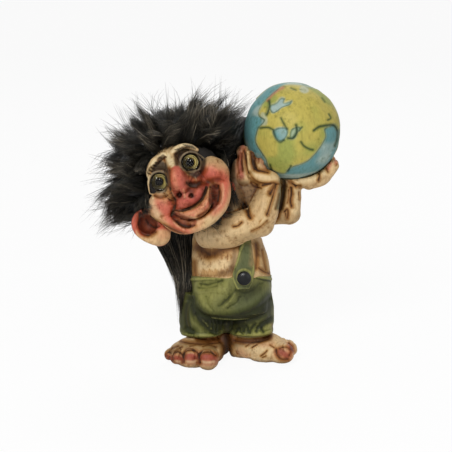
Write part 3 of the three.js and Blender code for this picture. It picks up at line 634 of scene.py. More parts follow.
def group(
    name: str, inputs: dict[str, tuple[str, object]], outputs: dict[str, str],
) -> tuple[bpy.types.NodeTree, Graph, bpy.types.Node, bpy.types.Node]:
    """Start a shader node group with named sockets.

    Args:
        name: The group's name.
        inputs: Socket type and first value by name.
        outputs: Socket type by name.

    Returns:
        The tree, its graph, its input node and its output node.
    """
    tree = bpy.data.node_groups.new(name, "ShaderNodeTree")
    for label, (kind, value) in inputs.items():
        socket = tree.interface.new_socket(label, in_out="INPUT", socket_type=f"NodeSocket{kind}")
        if value is not None:
            socket.default_value = value
    for label, kind in outputs.items():
        tree.interface.new_socket(label, in_out="OUTPUT", socket_type=f"NodeSocket{kind}")
    graph = Graph(tree)
    return tree, graph, graph.add("NodeGroupInput"), graph.add("NodeGroupOutput")


def antique_group() -> bpy.types.NodeTree:
    """Ground paint under a dark wash in the hollows, with rubbed ridges, specks and brush streaks."""
    tree, g, source, sink = group("antique paint", {
        "Paint": ("Color", (0.5, 0.5, 0.5, 1)), "Wash": ("Float", 0.0), "Ridge": ("Float", 0.0),
        "Place": ("Vector", None), "Dark": ("Color", (0.03, 0.02, 0.01, 1)),
        "Rubbed": ("Color", (1, 1, 1, 1)), "Mottle": ("Float", 0.3),
        "Specks": ("Float", 0.5), "Rub": ("Float", 0.5),
        "Glaze": ("Color", (0.45, 0.34, 0.22, 1)), "Streaked": ("Float", 0.5),
    }, {"Color": "Color", "Height": "Float", "Roughness": "Float"})
    get = source.outputs
    patches = g.noise(get["Place"], 160, 4)
    streaks = g.noise(g.stretched(get["Place"], (900, 900, 240)), 1.0, 4, 0.65)
    grit = g.noise(get["Place"], 1900, 3, 0.6)
    tone = g.math("ADD", g.math("MULTIPLY", g.math("SUBTRACT", patches, 0.5), 0.9),
                  g.math("MULTIPLY", g.math("SUBTRACT", streaks, 0.5), 1.1))
    light = g.math("MULTIPLY_ADD", tone, get["Mottle"], 1.0)
    grey = g.add("CombineColor", {0: light, 1: light, 2: light}).outputs[0]
    ground = g.blend(1.0, get["Paint"], grey, "MULTIPLY")
    grime = g.noise(get["Place"], 420, 5, 0.7)
    dragged = g.noise(g.stretched(get["Place"], (620, 620, 190)), 1.0, 5, 0.6)
    dirt = g.math("ADD", g.math("MULTIPLY", g.span(patches, 0.42, 0.66), g.span(grime, 0.4, 0.66)),
                  g.math("MULTIPLY", g.span(dragged, 0.5, 0.72), 0.55))
    dirt = g.math("MULTIPLY", dirt, get["Streaked"])
    ground = g.blend(g.math("MINIMUM", dirt, 1.0), ground, g.blend(1.0, ground, get["Glaze"], "MULTIPLY"))
    rub = g.math("MULTIPLY", g.math("MULTIPLY", get["Ridge"], get["Rub"]), g.span(streaks, 0.35, 0.62))
    ground = g.blend(rub, ground, get["Rubbed"])
    broken = g.math("MULTIPLY_ADD", g.math("SUBTRACT", streaks, 0.5), 0.7, get["Wash"])
    soaked = g.math("MULTIPLY", g.math("MULTIPLY", g.span(broken, 0.0, 1.0), get["Wash"]), 1.15)
    specks = g.math("MULTIPLY", g.span(grit, 0.66, 0.74), get["Specks"])
    cover = g.math("MINIMUM", g.math("ADD", soaked, specks), 0.92)
    g.tree.links.new(g.blend(cover, ground, get["Dark"]), sink.inputs["Color"])
    bristles = g.math("ADD", g.math("MULTIPLY", streaks, 0.6), g.math("MULTIPLY", grit, 0.4))
    height = g.math("SUBTRACT", bristles, g.math("MULTIPLY", cover, 0.5))
    g.tree.links.new(height, sink.inputs["Height"])
    satin = g.math("MULTIPLY_ADD", patches, 0.24, 0.42)
    g.tree.links.new(g.math("MULTIPLY_ADD", cover, 0.2, satin), sink.inputs["Roughness"])
    return tree


@dataclass(frozen=True)
class AntiquePaint:
    """Satin hand paint on a casting."""

    name: str
    dark: Paint
    rubbed: Paint
    mottle: float = 0.35
    specks: float = 0.35
    rub: float = 0.5
    relief: float = 0.06
    glaze: str = "a98f6c"
    streaked: float = 0.75

    def made(self, tree: bpy.types.NodeTree) -> bpy.types.Material:
        """Build the material around the shared antique group."""
        material, g, shader = started(self.name)
        place = g.add("TexCoord").outputs["Object"]
        aged = g.add("Group", node_tree=tree)
        layers = (("Paint", "paint", "Color"), ("Wash", "wash", "Fac"), ("Ridge", "ridge", "Fac"))
        for socket, layer, output in layers:
            g.tree.links.new(g.add("Attribute", attribute_name=layer).outputs[output], aged.inputs[socket])
        g.tree.links.new(place, aged.inputs["Place"])
        aged.inputs["Dark"].default_value = rgba(self.dark.value)
        aged.inputs["Rubbed"].default_value = rgba(self.rubbed.value)
        aged.inputs["Mottle"].default_value = self.mottle
        aged.inputs["Specks"].default_value = self.specks
        aged.inputs["Rub"].default_value = self.rub
        aged.inputs["Glaze"].default_value = rgba(self.glaze)
        aged.inputs["Streaked"].default_value = self.streaked
        g.tree.links.new(aged.outputs["Color"], shader.inputs["Base Color"])
        g.tree.links.new(aged.outputs["Roughness"], shader.inputs["Roughness"])
        shader.inputs["Specular IOR Level"].default_value = 0.25
        relief = self.relief * MM
        bump = g.add("Bump", {"Strength": 0.6, "Distance": relief, "Height": aged.outputs["Height"]})
        g.tree.links.new(bump.outputs[0], shader.inputs["Normal"])
        return material


def started(name: str) -> tuple[bpy.types.Material, Graph, bpy.types.Node]:
    """A new material with its graph and its shader."""
    material = bpy.data.materials.new(name)
    material.use_nodes = True
    return material, Graph(material.node_tree), material.node_tree.nodes["Principled BSDF"]


def plain(name: str, colour: str, roughness: float, **sockets: object) -> bpy.types.Material:
    """A material whose detail is in its shader's own values."""
    material, _, shader = started(name)
    shader.inputs["Base Color"].default_value = rgba(colour)
    shader.inputs["Roughness"].default_value = roughness
    for label, value in sockets.items():
        shader.inputs[label.replace("_", " ")].default_value = value
    return material


def path(text: str) -> list[tuple[float, ...]]:
    """Points written as numbers with commas, and spaces between the points."""
    return [tuple(float(v) for v in point.split(",")) for point in text.split()]


def patch(text: str, edge: float = 1.2) -> Mark:
    """A filled outline with a soft edge."""
    return Mark(path(text), edge, filled=True)


def stroke(text: str, width: float = 1.0, soft: float = 1.0) -> Mark:
    """A brush stroke."""
    return Mark(path(text), width, soft)


def rows_of(table: str) -> list[tuple[list[str], list[tuple[float, ...]]]]:
    """Rows of a table: the words before the bar, and the points after it.

    A line without a bar goes on with the points above it if it is indented. Otherwise it names what
    the rows below it draw.
    """
    rows = []
    for line in table.strip().splitlines():
        words, bar, points = line.partition("|")
        if bar:
            rows.append((words.split(), path(points)))
        elif line.startswith(" "):
            rows[-1][1].extend(path(line))
    return rows


def strokes(table: str) -> list[tuple]:
    """Strokes from a table: width, depth and, for creases, strength of the wash, then the line."""
    return [(*map(float, words), line) for words, line in rows_of(table)]


# Head


# Rows of carving: width of the stroke, depth in millimetres and, for creases, strength of the dark wash.
# Rows of paint: paint, strength, stroke or patch, its width or soft edge, and sometimes its softness.
# After the bar stand the points of the line, in steps of the front sheet.

FACE_RELIEF = """
lower lip
1.3 -0.5 | 178.4,212 184.4,214.5 191.4,216 197.4,213.5 203.4,208 207.9,200 209.4,191
cheek fold beside the mouth
2 -0.5 | 215.4,182 222.4,184 224.4,191 223.4,199 219.4,206 213.4,212
chin
1.6 -0.4 | 173.4,222 180.4,228.5 188.4,231.5 195.4,228.5
wings and tip of the nose
1.2 -0.5 | 171.4,191 172.9,195 175.4,199
1 -0.5 | 180.9,190 183.4,193 184.4,197
1.1 -0.5 | 187.9,174.5 192.4,175.5 195.9,179 196.9,183
hollows beside the nose
1.5 0.5 | 183.4,169 185.9,173 187.4,178
1 0.4 | 196.4,172 192.4,178 190.4,184
"""

FACE_CREASES = """
mouth line
0.9 0.6 0.9 | 174.8,209.8 179,210.6 182.9,210.3
0.9 0.7 0.7 | 182.9,210.3 188,208.8 192.1,207 196.5,204.4 199.7,201.7 202.9,198 205,193 206.8,187
fold from the nose to the mouth
1.1 0.7 0.9 | 174.6,199 174.6,205 173.5,210 172,214.5
fold from the nose to the cheek
2 0.5 0.3 | 192,184.6 199,183.6 207,182.4 214,180.6 220,179
side of the nose
1.4 0.7 0.9 | 168.9,170 168.2,178 169.2,186 171,193.6 174.2,200
under the lower lip
0.9 0.5 0.8 | 198.6,216.3 204,213.5 208.4,210.3
1.1 0.5 0.6 | 171.5,215.7 174.6,219.6 178.5,222.8 182.6,225.4 186.7,226.6 191,226.6 194.3,225.5
corner of the mouth
0.9 0.5 0.7 | 210.4,187 209.6,194 210,200 211.4,207
under the right eye
0.8 0.3 0.5 | 154.4,195.5 159.4,197.6 165.4,196.6 170.4,193.6
jaw
1.2 0.6 0.9 | 150.4,219 158.4,224 166.4,227 174.4,230.8 181.4,234
nostril and cheek
1.1 0.5 0.6 | 187.4,183 191.4,186 196.4,187
0.8 0.3 0.6 | 218.4,186 219,193 217.8,201
"""

# lower lip, with a painted highlight along it
# nose, with painted highlights on its wings and nostril rim, and painted shade on its left side and under its
# left wing
# painted shade in the crease beside the nose
# pale temple, and painted shade at the top of the left cheek beside the eye
FACE_PAINT = """
cheeks
PEACH 0.6 stroke 9 | 162,205 168,216 178,226 192,229
PEACH 0.6 stroke 9 | 205,178 214,168 222,178 224,192 218,206
SALMON 0.75 stroke 8.5 0.9 | 157,205 163,208 168,212
SALMON 0.95 stroke 8 0.8 | 201,176 208,173.6 216,174.6 223,179
SALMON 0.95 stroke 3.2 | 170,203 171.5,210 172.5,217
ROSE 0.5 stroke 4 0.9 | 205,178 212,177 219,179
ROSE 0.5 stroke 4 0.9 | 160,206 166,210
temple and brow
PALE 0.5 stroke 3 | 151,201 154,208 158,215
STRAW 0.45 stroke 3.4 | 206,162 213,161.6 219,166
nose
ROSE 0.9 patch 1.2 | 172.4,167 178.4,165.6 182.4,169 186.4,174 189,176 194,178 198.4,182 204,184 207,182
   209.4,185 206.4,191 203,198 194,204 184.4,201 174.4,200 171.2,190 170.2,180 170.6,172
SALMON 0.75 stroke 5 0.9 | 173.6,171 175.4,178 178.4,186
SALMON 0.75 stroke 2.6 | 191,179.4 195,182.6
BRICK 0.4 stroke 3.4 0.9 | 184,178 186,184 188,190
BRICK 0.4 stroke 2 | 193,184 197,188
PEACH 0.65 stroke 0.9 | 188.6,174.4 192.4,176 195,179.4 196.2,181.6
PEACH 0.65 stroke 1.3 | 170.6,186 171.6,193 174,198.4
PEACH 0.65 stroke 0.7 | 183,189.4 184.6,193 184.8,197.4
upper lip
ROSE 0.9 patch 1.2 | 175.2,199.6 184.4,200 192,197.4 199,192.6 204,185.6 207,182 209.4,184 206.4,191 203,198
   197,203.6 191,206.6 184,209.2 175.4,209
SALMON 0.5 stroke 2.4 | 178,203.6 185,204 192,201.6
SALMON 0.5 stroke 1.8 | 196,197 201,191
lower lip
SALMON 0.8 patch 1.2 | 176.4,211.2 182,212.4 188,211 194,208.6 200,204.4 205,198.6 208,191.6 210,190
   210.6,198 209.4,206 205,212 199.8,215.6 195.2,217.2 188,215.8 181.3,213.6
PEACH 0.75 stroke 1.4 | 182.4,213 188.6,213.4 195,211.6 201,207.6 206,201 208.6,194
PEACH 0.75 stroke 1.6 | 196,215 203,210.6
chin and folds beside the mouth
SALMON 0.85 stroke 3.2 | 167.4,213 169.6,220 174.4,226.4 181.4,229.6 189.4,231.4
SALMON 0.85 stroke 4.2 | 213.4,211 219.4,206 224,197 226,187 224.4,180.6
PEACH 0.6 stroke 2.4 | 197,221 203,217 209,213 215,208
PEACH 0.6 stroke 2 | 191,231 197,227.4 202,221.6
PEACH 0.6 stroke 0.9 | 222.4,184 223.4,192 220,202
dark hollows round the mouth
BRICK 0.8 patch 1.2 | 171.8,213 177,211.6 184,214.6 191,217.6 196.4,219.6 196.6,223.4 193.8,226.2 187,226.8
   180,224.4 174.6,220
BRICK 0.8 patch 1.2 | 210.4,187 214.4,184 219,185 220.2,192 219.4,200 217,206.4 213,209.4 210,205 209.7,196
MAROON 0.8 stroke 1.4 | 171.8,215 175,220 180,224 186,226.2 192,226
MAROON 0.8 stroke 1.6 | 172.4,212 175,214
MAROON 0.8 stroke 3.4 | 213.6,186.6 214,194 213.6,202 213.4,207
light on the chin
PEACH 0.3 stroke 1.4 | 184,219 190,221
PEACH 0.3 stroke 0.9 | 187,223.6 192.6,222.6
mouth line
MAROON 0.5 stroke 2.4 0.9 | 190,205.6 196,201.6 200.6,196 203.6,189
MAROON 0.85 stroke 0.8 0.7 | 176.4,210.2 182.9,210.2
MAROON 0.85 stroke 1.2 0.8 | 182.9,210.2 188,208.8 192.1,207 196.5,204 199.7,201 202.9,196.8 205,192
   206.8,187
right nostril
BRICK 0.8 stroke 3.8 0.7 | 178.7,193.6 180.4,197
lights and shades of the nose
PEACH 0.35 stroke 2.4 | 173,172 174.6,180 176.6,188
PEACH 0.45 stroke 1.8 | 190,176.6 193.4,179 195.4,182
BRICK 0.55 stroke 1.8 0.9 | 183.6,172 185.6,178 186.4,186
inside of the nostrils
MAROON 0.7 stroke 2 0.8 | 178.7,194.6 180,197
SOOT 0.85 stroke 2 0.7 | 191.6,194.6 192.6,196.4
crease beside the nose
SOOT 0.6 stroke 1.5 0.9 | 190.6,184.6 194,186 198,185
BROWN 0.8 stroke 2.4 0.9 | 188.6,183.4 192,185.2 196.4,185.4 199.4,183.6
"""

EYE_HOLLOWS = """
right eye
SOOT 0.9 patch 1.6 | 153,163.6 157.4,160.8 163.4,161.3 166.6,164 168.6,170 169.2,178 168.6,186 165.4,192
   158,193 153,190 151.4,180 151.4,171
left eye
SOOT 0.9 patch 1.6 | 174.6,152 180.4,148.6 188,148.4 196,150.4 204,155.4 206.4,160 205,168 201,174.6
   196,178.4 191,176.4 186,172.4 180,166 175.2,165.4 174.2,158
brown edges of the eyes
BROWN 0.6 stroke 1.6 | 152.6,168 154.6,163.6 158,161.6
BROWN 0.6 stroke 1.8 | 175.4,154 176.4,160 177.4,163.6
BROWN 0.6 stroke 1.4 | 155,195.6 160,197 166,195
"""

BROW_LIGHTS = """
bridge of the nose
PALE 0.95 patch 1 | 165,153 167.6,152.4 170.4,155.4 173.4,160.4 173.8,165.6 170.6,167.4 168.4,163
   165.8,158.6
brows
PALE 0.9 stroke 1.7 0.7 | 172.6,151.4 175.6,148.8 179.4,146.4 184.4,144.6 189.4,144.4 193.6,146.6
PALE 0.9 stroke 1.7 0.7 | 164.4,154 160.4,155.4 156.4,159 152.4,164 149.6,169.6 148.2,175
temple
PALE 0.9 stroke 0.9 | 148.2,175 148.6,183 150.6,190 153,198
warm spot on the right brow
PEACH 0.5 stroke 1.2 | 161,158.6 158,160
"""

# Rows of short hairs on the brows: a hair's root and its tip, each with its step to the next, and the count

BROW_HAIRS = (
    ((158, 158.4, 1.2, -0.9), (161.4, 160.6, 1.2, -0.9), 5),
    ((147.8, 173, 1.9, -2.6), (150.6, 174.4, 1.9, -2.6), 7),
    ((175, 149.6, 2.3, -0.9), (178.8, 150.2, 2.3, -0.9), 4),
    ((183.6, 144.4, 2.1, 0.3), (187.2, 147, 2.1, 0.5), 5),
)

CHEEK_SPOT = """
under the right eye
BRICK 0.8 stroke 0.9 0.5 | 159.4,208
"""

EAR_CREASES = """
rim
1.2 0.5 0.9 | 140.4,214 139.4,220 139.4,227 142.4,233 148.4,235 155.4,232
folds in the bowl
0.8 0.4 0.8 | 150.4,225 154.4,227.5 159.4,226
0.7 0.3 0.6 | 146.4,220 148.4,224
"""

EAR_PAINT = """
lobe
CREAM 0.9 patch 2.5 | 136.4,231 140.4,236 148.4,235.5 156.4,231 163.4,230 171.4,232 171.4,240 162.4,246
   148.4,245 138.4,240
PEACH 0.7 stroke 4.5 0.8 | 161.4,236 165.4,234
light on the rim
CREAM 0.6 stroke 2 | 144.4,212 150.4,215 156.4,220
bowl
BRICK 0.9 patch 1.2 | 140.4,214 145.4,212.6 151.4,216 157.4,221.5 158.4,227 154.4,232 148.4,234 142.4,232
   139.7,226 139.4,219
BROWN 0.45 patch 1.2 | 140.4,214 145.4,212.6 151.4,216 157.4,221.5 158.4,227 154.4,232 148.4,234 142.4,232
   139.7,226 139.4,219
dark edge of the bowl
MAROON 0.6 stroke 1.8 | 140.9,216 140.4,223 142.4,230 148.4,233
"""


@dataclass
class Head:
    """The head casting with its ears and glass eyes, in the head's own frame."""

    skull: tuple[Point, Point] = SKULL
    eyes: tuple[Point, Point] = ((-9.4, 1.2, -0.8), (9.2, 1.2, -0.2))
    eye_radius: float = 4.45
    right_ear: Point = (-25.3, 8, -19.5)
    left_ear: Point = (23, 17.5, -17)

    def masses(self, clay: Clay) -> Clay:
        """The skull, muzzle and cheeks."""
        clay.lump(*self.skull).lump((0.8, 8, -16), (16.5, 13, 14.6))
        clay.lump((-14.4, 5, -12.8), (7.6, 8.8, 8.4)).lump((17, 5, -11), (7.4, 8.8, 9.2))
        return clay

    def casting(self) -> bpy.types.Object:
        """Model the head without its ears and eyes."""
        clay = self.masses(Clay("head_casting", HEAD))
        # Jowls and chin
        clay.roll(((-18, 3, -12), (-14.6, 0, -21.5), (-9.6, -1, -27.8), (0, -1.6, -30), (9, -1, -28.4),
                   (16, 0.6, -23), (20, 3, -14)), (3.2, 3.6, 3.4, 3.3, 3.4, 3.5, 3.2))
        # Upper lip, then lower lip
        clay.lump((1, -1.6, -15), (9.8, 7.6, 6.4))
        clay.roll(((-9.6, -2.6, -18.2), (-4, -5.6, -23.2), (1, -6.4, -24.4), (5.6, -5.6, -22.8),
                   (10.4, -2.6, -17.2)), (1.5, 2.3, 2.5, 2.3, 1.5))
        # Nose: its bridge, tip and wings
        clay.roll(((2.2, 1.5, 9), (1, -3, 3.6), (-0.4, -7.6, -2.6)), (2.4, 3.4, 5.6))
        clay.lump((-0.5, -8.6, -4.4), (6, 6.6, 6.4)).lump((0.4, -8.4, -9), (3.4, 4, 3.4))
        clay.lump((-6.2, -4.4, -8.6), (3.8, 4.8, 4.2)).lump((6.4, -4.4, -7.6), (4.2, 4.8, 4.2))
        # Brows
        clay.roll(((-13, 2.4, 1), (-11.6, 0.4, 5.6), (-7, -1.2, 9.2), (-0.8, -0.6, 9.8)),
                  (1.3, 1.7, 1.9, 1.6))
        clay.roll(((4, -0.6, 8.6), (8.8, -1.2, 8.8), (12.8, 0, 7), (15.2, 2, 3.6)), (1.6, 1.9, 1.7, 1.2))
        head = clay.pressed(5)
        # What is pressed in: eye hollows, nostrils, corners of the mouth and the mouth line
        hollow = Clay("hollow", HEAD)
        hollow.lump((-8.6, -1.4, 2.4), (5.2, 3.6, 5.6)).lump((8.8, -1.4, 2.6), (5.2, 3.6, 5.4))
        hollow.lump((-3.9, -7.4, -12), (1.7, 2.2, 1.5)).lump((0.9, -9, -15.4), (1.5, 2.6, 1.3))
        hollow.lump((-9.2, -4.6, -25), (2.8, 3.8, 4.4), (0, -28, 0))
        hollow.lump((12.4, -3.4, -22), (2.8, 4.2, 5.4), (0, 30, 0))
        hollow.roll(((-11.4, -2, -15.2), (-7.6, -6, -18.4), (-2, -9.4, -20.6), (3, -9.4, -20.4),
                     (8, -6, -17.6), (11.6, -2, -13.6)), (0.6, 1.1, 1.3, 1.4, 1.3, 0.6))
        for x, y, z in self.eyes:
            hollow.rod((x, y + 2.6, z), (x, y - 5, z), self.eye_radius + 0.5)
        cut(head, hollow.pressed(0, 0.35))
        lids = Clay("lids", HEAD)
        for (x, y, z), side in zip(self.eyes, (-1, 1)):
            upper = ((-5.3, -1), (-4.2, 3), (-0.4, 5.1), (3.6, 4), (6.1, 0.4), (7.4, -3))
            lower = ((-5.2, -1.2), (-3, -4.6), (0.8, -5.5), (4.4, -4.9), (7.2, -3.2))
            lids.roll([(x + side * u, y - 0.9 + 0.16 * abs(u), z + w) for u, w in upper],
                      (0.55, 0.7, 0.8, 0.75, 0.65, 0.45))
            lids.roll([(x + side * u, y - 0.7 + 0.16 * abs(u), z + w) for u, w in lower],
                      (0.5, 0.65, 0.7, 0.6, 0.45))
        clear_selection()
        rims = lids.pressed(0, 0.3)
        rims.select_set(True)
        head.select_set(True)
        bpy.context.view_layer.objects.active = head
        bpy.ops.object.join()
        recast(head, VOXEL)
        soften(head, 2)
        return head

    def dressed(self, head: bpy.types.Object) -> None:
        """Carve and paint the face."""
        face = Carving(head, Paint.CREAM, Paint.SKIN_GLAZE)
        face.roughen(61, 0.18, 0.08)
        face.carve(strokes(FACE_RELIEF))
        face.crease(strokes(FACE_CREASES))
        face.paint(FACE_PAINT)
        # Painted shade in the fold under the left cheek, in the left nostril, in the fold from the nose to
        # the mouth and under the lower lip.
        cheek_fold = stroke("194.7,184 202,183.4 210,181.6 218,179.6", 2.6)
        left_nostril = stroke("188.4,189.6 193,191", 2.4)
        nose_fold = stroke("174.6,199 174.4,206 173,212", 1.8)
        below_lip = stroke("200,217 206,213.6 211,209.6", 2.0)
        face.shade(0.7, cheek_fold, left_nostril)
        face.shade(0.6, nose_fold, below_lip)
        face.paint(EYE_HOLLOWS)
        # Painted shade under the left eye.
        face.shade(0.5, stroke("186,173.6 193,177 200,175.4 204.6,169.6", 2.6))
        self.painted_lids(face)
        face.paint(BROW_LIGHTS)
        hairs = [tuple((x + dx * k, y + dy * k) for x, y, dx, dy in ends)
                 for *ends, count in BROW_HAIRS for k in range(count)]
        face.brush(Paint.SOOT, 0.9, *(Mark(line, 0.62) for line in hairs))
        face.carve([(0.6, 0.25, line) for line in hairs])
        face.paint(CHEEK_SPOT)
        face.age(1.0, 0.8)
        face.commit()

    def painted_lids(self, face: Carving) -> None:
        """Paint the rims of the lids light, and the inside of the eyes' pockets dark."""
        turned = np.array(HEAD.inverted())
        local = face.points @ turned[:3, :3].T + turned[:3, 3]
        front = smooth(8, 5, local[:, 1])
        uneven = 0.75 + 0.35 * Grain(71).at(face.points, 1.6)
        for x, _, z in self.eyes:
            away = np.hypot(local[:, 0] - x, local[:, 2] - z)
            rim = smooth(4.6, 5.0, away) * smooth(6.0, 5.5, away) * front
            face.tint(Paint.LID, rim * np.clip(uneven, 0.2, 0.75))
            face.tint(Paint.SOOT, smooth(4.9, 4.5, away) * front)

    def ear(self, name: str, centre: Point, side: int, back: float) -> bpy.types.Object:
        """Model one ear with its bowl and lobe, pressed back by an angle in degrees."""
        x, y, z = centre
        root = Vector((x - side * 5.4, y, 0))
        place = (HEAD @ Matrix.Translation(root) @ Matrix.Rotation(math.radians(side * back), 4, "Z")
                 @ Matrix.Translation(-root))
        clay = Clay(name, place)
        clay.lump((x + side * 0.6, y, z + 3), (7.4, 4.2, 7.4)).lump((x - side * 2, y, z - 4), (6.2, 4.6, 6.6))
        clay.lump((x - side * 5.4, y + 1, z), (4.6, 4, 7.6))
        rim = ((-5.4, 8.2), (0, 10.2), (5.2, 8), (7, 3.4), (5.4, -2), (2, -6.5))
        clay.roll([(x + side * u, y - 2.2, z + w) for u, w in rim], (1.2, 1.4, 1.5, 1.5, 1.6, 1.8))
        ear = clay.pressed(4)
        bowl = Clay("bowl", place).lump((x + side * 0.2, y - 4.2, z + 3), (4.8, 5.4, 5.2)).pressed(0, 0.3)
        cut(ear, bowl)
        cut(ear, self.masses(Clay("skull", HEAD)).pressed(0, 0.5))
        recast(ear, VOXEL)
        soften(ear, 2)
        return ear

    def painted_ear(self, ear: bpy.types.Object) -> None:
        """Carve and paint an ear; its marks on the sheet only reach the troll's right one."""
        skin = Carving(ear, Paint.SALMON, Paint.SKIN_GLAZE)
        skin.crease(strokes(EAR_CREASES))
        skin.paint(EAR_PAINT)
        skin.age(0.8, 0.6)
        skin.commit()

    def eye(self, name: str, centre: Point) -> tuple[bpy.types.Object, bpy.types.Object]:
        """One eye: its clear dome and the painted bead behind it."""
        x, y, z = centre
        parts = []
        for part, depth, side in (("glass", 2.3, 1), ("bead", 2.2, -1)):
            clear_selection()
            bpy.ops.mesh.primitive_uv_sphere_add(segments=48, ring_count=24, radius=1.0)
            ball = bpy.context.object
            ball.name = ball.data.name = f"{name}_{part}"
            bpy.ops.object.mode_set(mode="EDIT")
            bpy.ops.mesh.bisect(plane_co=(0, 0, 0), plane_no=(0, side, 0), use_fill=True, clear_outer=True)
            bpy.ops.object.mode_set(mode="OBJECT")
            radius = self.eye_radius
            ball.data.transform(HEAD @ Matrix.Translation((x, y - side * 0.12, z))
                                @ Matrix.Diagonal((radius, depth, radius, 1)))
            parts.append(ball)
        bead = parts[1]
        inverse = HEAD.inverted()
        layer = bead.data.attributes.new("disc", "FLOAT_VECTOR", "POINT")
        for corner, value in zip(bead.data.vertices, layer.data):
            local = inverse @ corner.co
            value.vector = ((local.x - x) / radius, (local.z - z) / radius, 0)
        return parts[0], bead


# Body


RIGHT_ARM_RELIEF = """
forearm
2.6 -0.5 | 262,226 268,214 272,200 275,190
2.4 -0.6 | 255,222 262,210 264,198 266,190
upper arm
3 -0.5 | 226,219 236,217 244,216
2.2 -0.4 | 210,236 224,234 238,230
fingers
1.4 -0.5 | 248,152 247.5,160 248,168 250,176
1.3 -0.4 | 241,150 239.5,158 239,168 240,178
1.2 -0.3 | 260,160 264,163 266,168
"""

RIGHT_ARM_CREASES = """
bend of the elbow
1.3 0.8 1 | 244.5,205 247,210 250.5,217.5
1 0.5 0.8 | 247.5,207 248.5,211 249,215
forearm
0.9 0.6 0.9 | 277.5,184 274.5,192 272,200 269.5,208 267,215
1.6 0.7 1 | 275.6,185 273,189 270.8,193
0.6 0.2 0.5 | 279,194 277.5,202 275.5,209
wrist
0.9 0.5 0.9 | 262,185.5 268,184 274,182.8 278,184
1 0.4 0.7 | 249,172 252,178 256,181.6 262,183.5 270,183.6
between the fingers
1.4 0.7 1 | 251.6,152 252.4,158 253,164 254.5,168
1.1 0.6 0.9 | 254.5,168.5 258,170.5 263,171 268,172
0.8 0.5 0.8 | 244.5,150 245.4,158 246.4,166 248,173
0.6 0.3 0.6 | 242,154 241.6,162 242.6,171
0.5 0.2 0.6 | 238.5,156 238,164 239,173
upper arm
0.9 0.4 0.7 | 233.5,226.5 238,225.6 241.5,222.4
0.8 0.3 0.5 | 252,231 260,227 267,221
palm and wrist
0.6 0.3 0.6 | 256,152 258.5,157 258,163
0.7 0.3 0.7 | 251,183 255,186.6 261,188
"""

RIGHT_ARM_PAINT = """
pale ridges
PALE 0.35 stroke 6 | 205,238 215,236 230,232 245,227
PALE 0.35 stroke 3 | 262,226 268,212 272,198
PALE 0.35 stroke 3 | 254,174 264,177 275,178
hollow above the elbow
BROWN 0.75 patch 3 | 238,184 244,181 250,183 257,185 259,189 254,196 250,203 246,204 240,202 237,194
shade beside the hair
UMBER 0.8 stroke 4.4 0.8 | 231,158 232,172 232.6,186 232,200 228,212
BROWN 0.6 stroke 5 0.9 | 237,170 237.6,184 238,198 242,205
"""

RIGHT_HAND_PAINT = """
green edge of the forearm
PINE 0.8 stroke 2.2 | 281.6,176 281.4,186 280,198 277.4,208
straw lights
STRAW 0.5 stroke 2.4 | 262,190 256,200 252,206
STRAW 0.5 stroke 3 | 232,240 246,236 258,231 268,224
first finger
ROSE 0.75 stroke 3.4 0.7 | 242.5,149 240.5,156 239.5,165 241,176
ROSE 0.75 stroke 2.2 | 243.6,146
lights on the fingers
PEACH 0.6 stroke 1.4 | 244,147 243,152
PEACH 0.6 stroke 0.9 | 246,155 246,166
PEACH 0.6 stroke 1.6 | 237,165 238,178
PALE 0.8 stroke 1.7 | 248.5,152 248.4,160 249,168 251,175
between the fingers
ROSE 0.5 stroke 1.3 | 251,151.5 254,154
BROWN 0.85 stroke 2.2 | 253,154 254,161 255,167
palm
BRICK 0.65 stroke 3 | 258,158 263,162 266,167
shoulder
SALMON 0.45 stroke 2.4 | 221,213 226,211
SALMON 0.45 stroke 1.6 | 223,218 226,216
"""

LEFT_ARM_RELIEF = """
forearm
2 -0.4 | 294,190 297,200 297,210
palm
1.6 -0.4 | 300,180 312,179 322,174
"""

LEFT_ARM_CREASES = """
forearm
1.1 0.6 1 | 291,188 291.5,195 290.6,201 291.8,206
0.7 0.3 0.6 | 288.5,190 288.6,197 287.5,203
elbow
0.9 0.4 0.9 | 284.6,211.5 287,209.4 288,213 287.4,218
0.5 0.3 0.7 | 285.6,213 286,217
wrist
1 0.5 0.9 | 286,176 288,181 291.6,184 296,186.6
0.9 0.4 0.8 | 290,180.5 295,185.5 300,186
edge against the right arm
1.6 0.7 1 | 283.6,176 284,184 283,192 282,200 280,208
1.2 0.5 0.7 | 280,210 277,218 273,223
fingers
0.9 0.5 0.9 | 318.6,172 319.4,176 318.6,180
0.8 0.4 0.6 | 326,168.5 328,172
outer fold of the forearm
0.5 0.3 0.4 | 299,192 299.4,200
"""

LEFT_ARM_PAINT = """
pale ridges
PALE 0.4 stroke 3 | 294,190 296,202 295,212
PALE 0.4 stroke 3 | 298,182 312,180 324,174
straw lights
STRAW 0.5 stroke 3 | 282,220 290,222 298,216
STRAW 0.5 stroke 2 | 300,186 314,184 326,177
green edges
PINE 0.95 stroke 3 | 283.6,176 284,186 282.6,198 280,208
PINE 0.95 stroke 1.6 | 285,177 300,174.6 316,171.5
fingertips
SALMON 0.7 stroke 2.2 | 330,163 328,168
SALMON 0.7 stroke 1.6 | 335,158 336,163
"""


